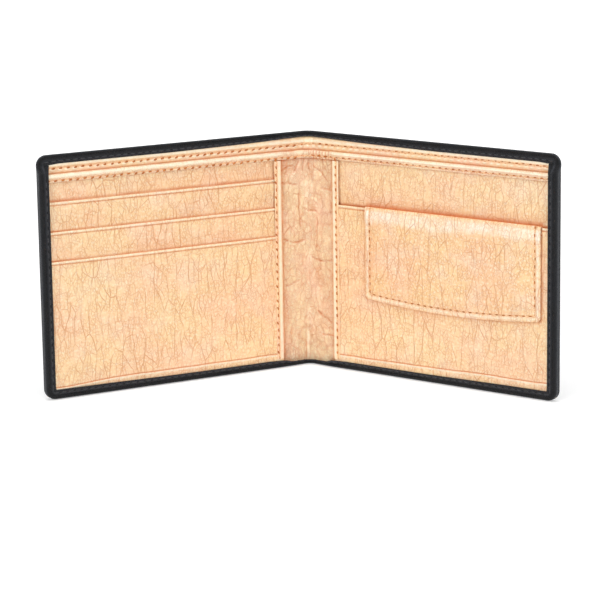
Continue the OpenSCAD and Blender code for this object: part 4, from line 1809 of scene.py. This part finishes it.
def stitch_tree() -> bpy.types.GeometryNodeTree:
    """The node tree that sews a row of stitches along a line of points.

    Returns:
        The tree. Its inputs are the line, the sizes in metres, and the two materials.
    """
    name = "sewn_row"
    found = bpy.data.node_groups.get(name)
    if found:
        return found
    tree = bpy.data.node_groups.new(name, "GeometryNodeTree")
    face = tree.interface
    face.new_socket("Geometry", in_out="INPUT", socket_type="NodeSocketGeometry")
    for label in ("Pitch", "Length", "Radius", "Hole", "Sink", "Slant"):
        face.new_socket(label, in_out="INPUT", socket_type="NodeSocketFloat")
    for label in ("Thread", "Bottom"):
        face.new_socket(label, in_out="INPUT", socket_type="NodeSocketMaterial")
    face.new_socket("Geometry", in_out="OUTPUT", socket_type="NodeSocketGeometry")
    graph = Graph(tree)
    given = graph.node("NodeGroupInput").outputs
    curve = graph.out("GeometryNodeMeshToCurve", {"Mesh": given["Geometry"]})
    spaced = {"Curve": curve, "Length": given["Pitch"]}
    points = graph.node("GeometryNodeCurveToPoints", spaced, mode="LENGTH")
    normal = graph.out("GeometryNodeInputNamedAttribute", {"Name": "out"}, data_type="FLOAT_VECTOR")
    uneven = graph.out("FunctionNodeRandomValue", {2: -0.1, 3: 0.1, "Seed": 7}, 1, data_type="FLOAT")
    tilt = graph.out("ShaderNodeCombineXYZ", {"Z": graph.math("ADD", uneven, given["Slant"])})
    ends = {0: normal, 1: points.outputs["Tangent"]}
    axes = graph.out("FunctionNodeAxesToRotation", ends, primary_axis="Z", secondary_axis="X")
    turned = graph.out("FunctionNodeRotateRotation", {0: axes, 1: tilt}, rotation_space="LOCAL")
    drop = graph.math("MULTIPLY", given["Sink"], -1.0)

    def ball(rings: int, place: dict, size: dict, material: Socket) -> Socket:
        """A round body in the stitch's own axes, stretched to a size."""
        shape = graph.out("GeometryNodeMeshUVSphere", {"Segments": 10, "Rings": rings, "Radius": 1.0})
        move, scale = graph.out("ShaderNodeCombineXYZ", place), graph.out("ShaderNodeCombineXYZ", size)
        inputs = {"Geometry": shape, "Translation": move, "Scale": scale}
        shape = graph.out("GeometryNodeTransform", inputs)
        shape = graph.out("GeometryNodeSetMaterial", {"Geometry": shape, "Material": material})
        return graph.out("GeometryNodeSetShadeSmooth", {"Geometry": shape})

    half = graph.math("MULTIPLY", given["Length"], 0.56)
    thread = ball(6, {2: drop}, {0: half, 1: given["Radius"], 2: given["Radius"]}, given["Thread"])
    long, deep = (graph.math("MULTIPLY", given["Hole"], factor) for factor in (2.5, 0.55))
    aside = graph.math("MULTIPLY", given["Pitch"], 0.5)
    # A flat dark disc in each needle hole paints the shade inside it
    hole = ball(5, {0: aside, 2: drop}, {0: long, 1: given["Hole"], 2: deep}, given["Bottom"])
    join = graph.node("GeometryNodeJoinGeometry")
    for shape in (thread, hole):
        tree.links.new(shape, join.inputs[0])
    inputs = {"Points": points.outputs["Points"], "Instance": join.outputs[0], "Rotation": turned}
    copies = graph.out("GeometryNodeInstanceOnPoints", inputs)
    solid = graph.out("GeometryNodeRealizeInstances", {"Geometry": copies})
    graph.node("NodeGroupOutput", {0: solid})
    return tree


@dataclass
class StitchRow:
    """A sewn row along a path on one piece.

    Args:
        name: The piece's name.
        runs: Points in metres and unit vectors out of the leather, for each run of the path.
        sizes: Sizes of the stitches.
        thread: Finish of the thread.
        hole: Finish of the needle holes, a painted shade.
    """

    name: str
    runs: list[Seam]
    sizes: StitchSizes = STITCH
    thread: Finish = PEACH_THREAD
    hole: Finish = PEACH_HOLE_SHADE

    def line(self) -> bpy.types.Object:
        """Makes the path as a mesh of edges.

        Returns:
            An object that holds the path.
        """
        points = np.concatenate([places for places, _ in self.runs])
        edges, first = [], 0
        for places, _ in self.runs:
            edges += [(i, i + 1) for i in range(first, first + len(places) - 1)]
            first += len(places)
        mesh = bpy.data.meshes.new(self.name + "_line")
        mesh.from_pydata(points.tolist(), edges, [])
        out = mesh.attributes.new("out", "FLOAT_VECTOR", "POINT")
        normals = np.concatenate([ways for _, ways in self.runs])
        out.data.foreach_set("vector", normals.astype(np.float32).ravel())
        made = bpy.data.objects.new(self.name + "_line", mesh)
        bpy.context.scene.collection.objects.link(made)
        return made

    def build(self) -> bpy.types.Object:
        """Sews the row.

        Returns:
            The row as a plain mesh.

        Raises:
            ValueError: If no stitch was made.
        """
        holder = self.line()
        modifier = holder.modifiers.new("sew", "NODES")
        modifier.node_group = stitch_tree()
        lengths = ("Pitch", "Length", "Radius", "Hole", "Sink")
        wanted = {label: getattr(self.sizes, label.lower()) * MM for label in lengths}
        wanted |= {
            "Slant": self.sizes.slant,
            "Thread": self.thread.material(),
            "Bottom": self.hole.material(),
        }
        for item in modifier.node_group.interface.items_tree:
            if item.in_out == "INPUT" and item.name in wanted:
                modifier[item.identifier] = wanted[item.name]
        graph = bpy.context.evaluated_depsgraph_get()
        sewn = bpy.data.meshes.new_from_object(holder.evaluated_get(graph))
        bpy.data.objects.remove(holder)
        sewn.name = self.name
        made = bpy.data.objects.new(self.name, sewn)
        bpy.context.scene.collection.objects.link(made)
        if not sewn.polygons:
            raise ValueError(f"{self.name} has no stitches")
        return made


def sew(side: Side, u: Places, v: Places, h: Places, outward: bool = False) -> Seam:
    """Points and normals of a stitch path on a half.

    Args:
        side: The half.
        u: Distances from the point of the spine.
        v: Depths of the leather under the row.
        h: Heights.
        outward: True on the cover's outer face.

    Returns:
        The points and their normals.
    """
    u, v, h = np.broadcast_arrays(np.asarray(u, float), v, h)
    normal = LAYOUT.inward(side, u, h)
    return LAYOUT.place(side, u, v, h), -normal if outward else normal


# Name, place, width and power of each lamp
LAMPS = (
    ("top", (0.0, -0.15, 0.9), 0.9, 5.2),
    ("front_left", (-0.8, -1.0, 0.7), 0.8, 6.1),
    ("back", (0.4, 1.3, 0.8), 0.8, 4.0),
    ("front_right", (0.8, -1.0, 0.6), 0.8, 5.05),
)


@dataclass
class Studio:
    """Floor, lamps, world and camera.

    Args:
        lens: Focal length in millimetres.
        azimuth: Way from the aim to the camera, turned from the front.
        elevation: The same, up from the floor.
        distance: From the aim to the camera, in metres.
        yaw: Turn of the view away from straight back.
        pitch: Tilt of the view below level.
        roll: Turn of the picture.
        aim: The point that the camera's place is measured from.
        lamp_aim: The point that every lamp shines at.
    """

    lens: float = 158.32
    azimuth: float = math.radians(3.904)
    elevation: float = math.radians(11.001)
    distance: float = 1.0646
    yaw: float = math.radians(-4.129)
    pitch: float = math.radians(12.161)
    roll: float = math.radians(-0.849)
    aim: tuple[float, float, float] = (0.0, 0.033758, 0.0475)
    lamp_aim: tuple[float, float, float] = (0.0, 0.0, 0.05)

    def camera(self) -> None:
        """Places the camera where the photograph was taken from."""
        data = bpy.data.cameras.new("camera")
        data.lens = self.lens
        data.sensor_width = 36.0
        data.clip_start, data.clip_end = 0.05, 20.0
        made = bpy.data.objects.new("camera", data)
        bpy.context.scene.collection.objects.link(made)
        ce, se = math.cos(self.elevation), math.sin(self.elevation)
        away = Vector((math.sin(self.azimuth) * ce, -math.cos(self.azimuth) * ce, se))
        cp, sp = math.cos(self.pitch), math.sin(self.pitch)
        ahead = Vector((math.sin(self.yaw) * cp, math.cos(self.yaw) * cp, -sp))
        right = ahead.cross(Vector((0, 0, 1))).normalized()
        up = right.cross(ahead)
        c, s = math.cos(self.roll), math.sin(self.roll)
        right, up = right * c + up * s, up * c - right * s
        turn = Matrix((right, up, -ahead)).transposed().to_4x4()
        made.matrix_world = Matrix.Translation(Vector(self.aim) + away * self.distance) @ turn
        bpy.context.scene.camera = made

    def lamp(self, name: str, place: tuple[float, float, float], size: float, power: float) -> None:
        """Adds a square area lamp.

        Args:
            name: The lamp's name.
            place: Where it hangs, in metres.
            size: Its width.
            power: Its power in watts.
        """
        data = bpy.data.lights.new(name, "AREA")
        data.size, data.energy = size, power
        made = bpy.data.objects.new(name, data)
        bpy.context.scene.collection.objects.link(made)
        turn = (Vector(self.lamp_aim) - Vector(place)).to_track_quat("-Z", "Y").to_matrix().to_4x4()
        made.matrix_world = Matrix.Translation(Vector(place)) @ turn

    def floor(self) -> None:
        """Lays the floor, just below the wallet."""
        mesh = bpy.data.meshes.new("floor")
        corners = [(x, y, -0.0002) for x, y in ((-4, -4), (4, -4), (4, 4), (-4, 4))]
        mesh.from_pydata(corners, [], [(0, 1, 2, 3)])
        mesh.materials.append(FLOOR.material())
        made = bpy.data.objects.new("floor", mesh)
        bpy.context.scene.collection.objects.link(made)

    def sky(self) -> None:
        """Fills the world with an even white, dimmer as light than as it is seen."""
        world = bpy.data.worlds.new("studio")
        bpy.context.scene.world = world
        world.use_nodes = True
        world.node_tree.nodes.clear()
        graph = Graph(world.node_tree)
        strength = graph.out("ShaderNodeMapRange", {0: graph.seen(), 3: 0.36, 4: 1.0})
        glow = graph.out("ShaderNodeBackground", {"Strength": strength})
        graph.node("ShaderNodeOutputWorld", {"Surface": glow})

    def build(self) -> None:
        """Builds the studio."""
        self.camera()
        self.floor()
        for lamp in LAMPS:
            self.lamp(*lamp)
        self.sky()
        bpy.context.scene.view_settings.view_transform = "Standard"


def build_half(side: Side) -> list[bpy.types.Object]:
    """Builds the cover, the bill compartment and the binding of one half, with their seams.

    Args:
        side: The half.

    Returns:
        The pieces in order.
    """
    cover, lining = CoverSkin(side), BillLining(side)
    wall, binding = CompartmentFront(side), PanelBinding(side)
    made = [cover.build(), lining.build(), wall.build()]
    us = steps((LAYOUT.middle + STITCH.pitch / 2, 112.6, 0.4))
    on_band = lining.face(us, np.full_like(us, lining.row)) + 0.2 + 0.12 * smooth(us, 14.0, 6.0)
    rows = [
        StitchRow(f"{side.value}_lining_stitches", [sew(side, us, on_band, lining.row)]),
        StitchRow(f"{side.value}_hem_stitches", [wall.seam()]),
        StitchRow(f"{side.value}_cover_stitches", cover.seams(), COVER_STITCH, BLACK_THREAD, BLACK_HOLE_SHADE),
    ]
    for row in rows:
        sewn = row.build()
        cross_fold(sewn)
        made.append(sewn)
    made.append(binding.build())
    row = StitchRow(f"{side.value}_binding_stitches", [binding.seam()]).build()
    made.append(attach(row, side.body))
    return made


def build_panels() -> list[bpy.types.Object]:
    """Builds the sheets of the card panel and the coin panel.

    Returns:
        The sheets, from the back to the front of each panel.
    """
    upper, middle, lower = LAYOUT.slot_tops
    plies = [LAYOUT.panel_back + LAYOUT.ply_step * k for k in range(4)]
    sheets = [
        PocketSheet(
            Side.LEFT,
            (10, 5),
            name="left_backing_sheet",
            node="left_card_backing",
            back=plies[0],
            top=LAYOUT.panel_top,
            folded=False,
            shade=upper,
        ),
        PocketSheet(
            Side.LEFT,
            (50, 35),
            name="left_pocket_top_sheet",
            node="card_pocket_top",
            back=plies[1],
            top=upper,
            foot=upper - LAYOUT.pocket_drop,
            shade=middle,
        ),
        PocketSheet(
            Side.LEFT,
            (90, 65),
            name="left_pocket_middle_sheet",
            node="card_pocket_middle",
            back=plies[2],
            top=middle,
            foot=middle - LAYOUT.pocket_drop,
            shade=lower,
        ),
        PocketSheet(
            Side.LEFT,
            (130, 95),
            name="left_pocket_front_sheet",
            node="card_pocket_front",
            back=plies[3],
            top=lower,
            crease=True,
        ),
        PocketSheet(
            Side.RIGHT,
            (170, 125),
            name="right_back_sheet",
            node="right_panel_back",
            back=plies[0],
            top=LAYOUT.panel_top,
            folded=False,
            shade=LAYOUT.coin_top,
        ),
        PocketSheet(
            Side.RIGHT,
            (210, 155),
            name="coin_panel_sheet",
            node="coin_panel",
            back=plies[3],
            top=LAYOUT.coin_top,
            crease=True,
            mouth=(30.25, 111.55, 1.6),
        ),
    ]
    return [sheet.build() for sheet in sheets]


def build_wallet() -> None:
    """Builds every piece of the wallet in order."""
    made = [piece for side in Side for piece in build_half(side)]
    made += build_panels()
    flap = CoinFlap(shift=(260, 190))
    made += flap.build()
    row = StitchRow("flap_stitches", [flap.seam()], FLAP_STITCH).build()
    flap.bend_at_fold(row)
    made.append(row)
    for node in ("snap_stud", "stud_rivet", "snap_socket"):
        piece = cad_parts[node]
        piece.data.materials.clear()
        piece.data.materials.append(BRASS.material())
        made.append(piece)
    for piece in made:
        LOG.info("%s: %d faces", piece.name, len(piece.data.polygons))


def main() -> None:
    """Builds the wallet and its studio."""
    logging.basicConfig(level=logging.INFO, format="%(message)s")
    build_wallet()
    Studio().build()


if __name__ == "__main__":
    main()
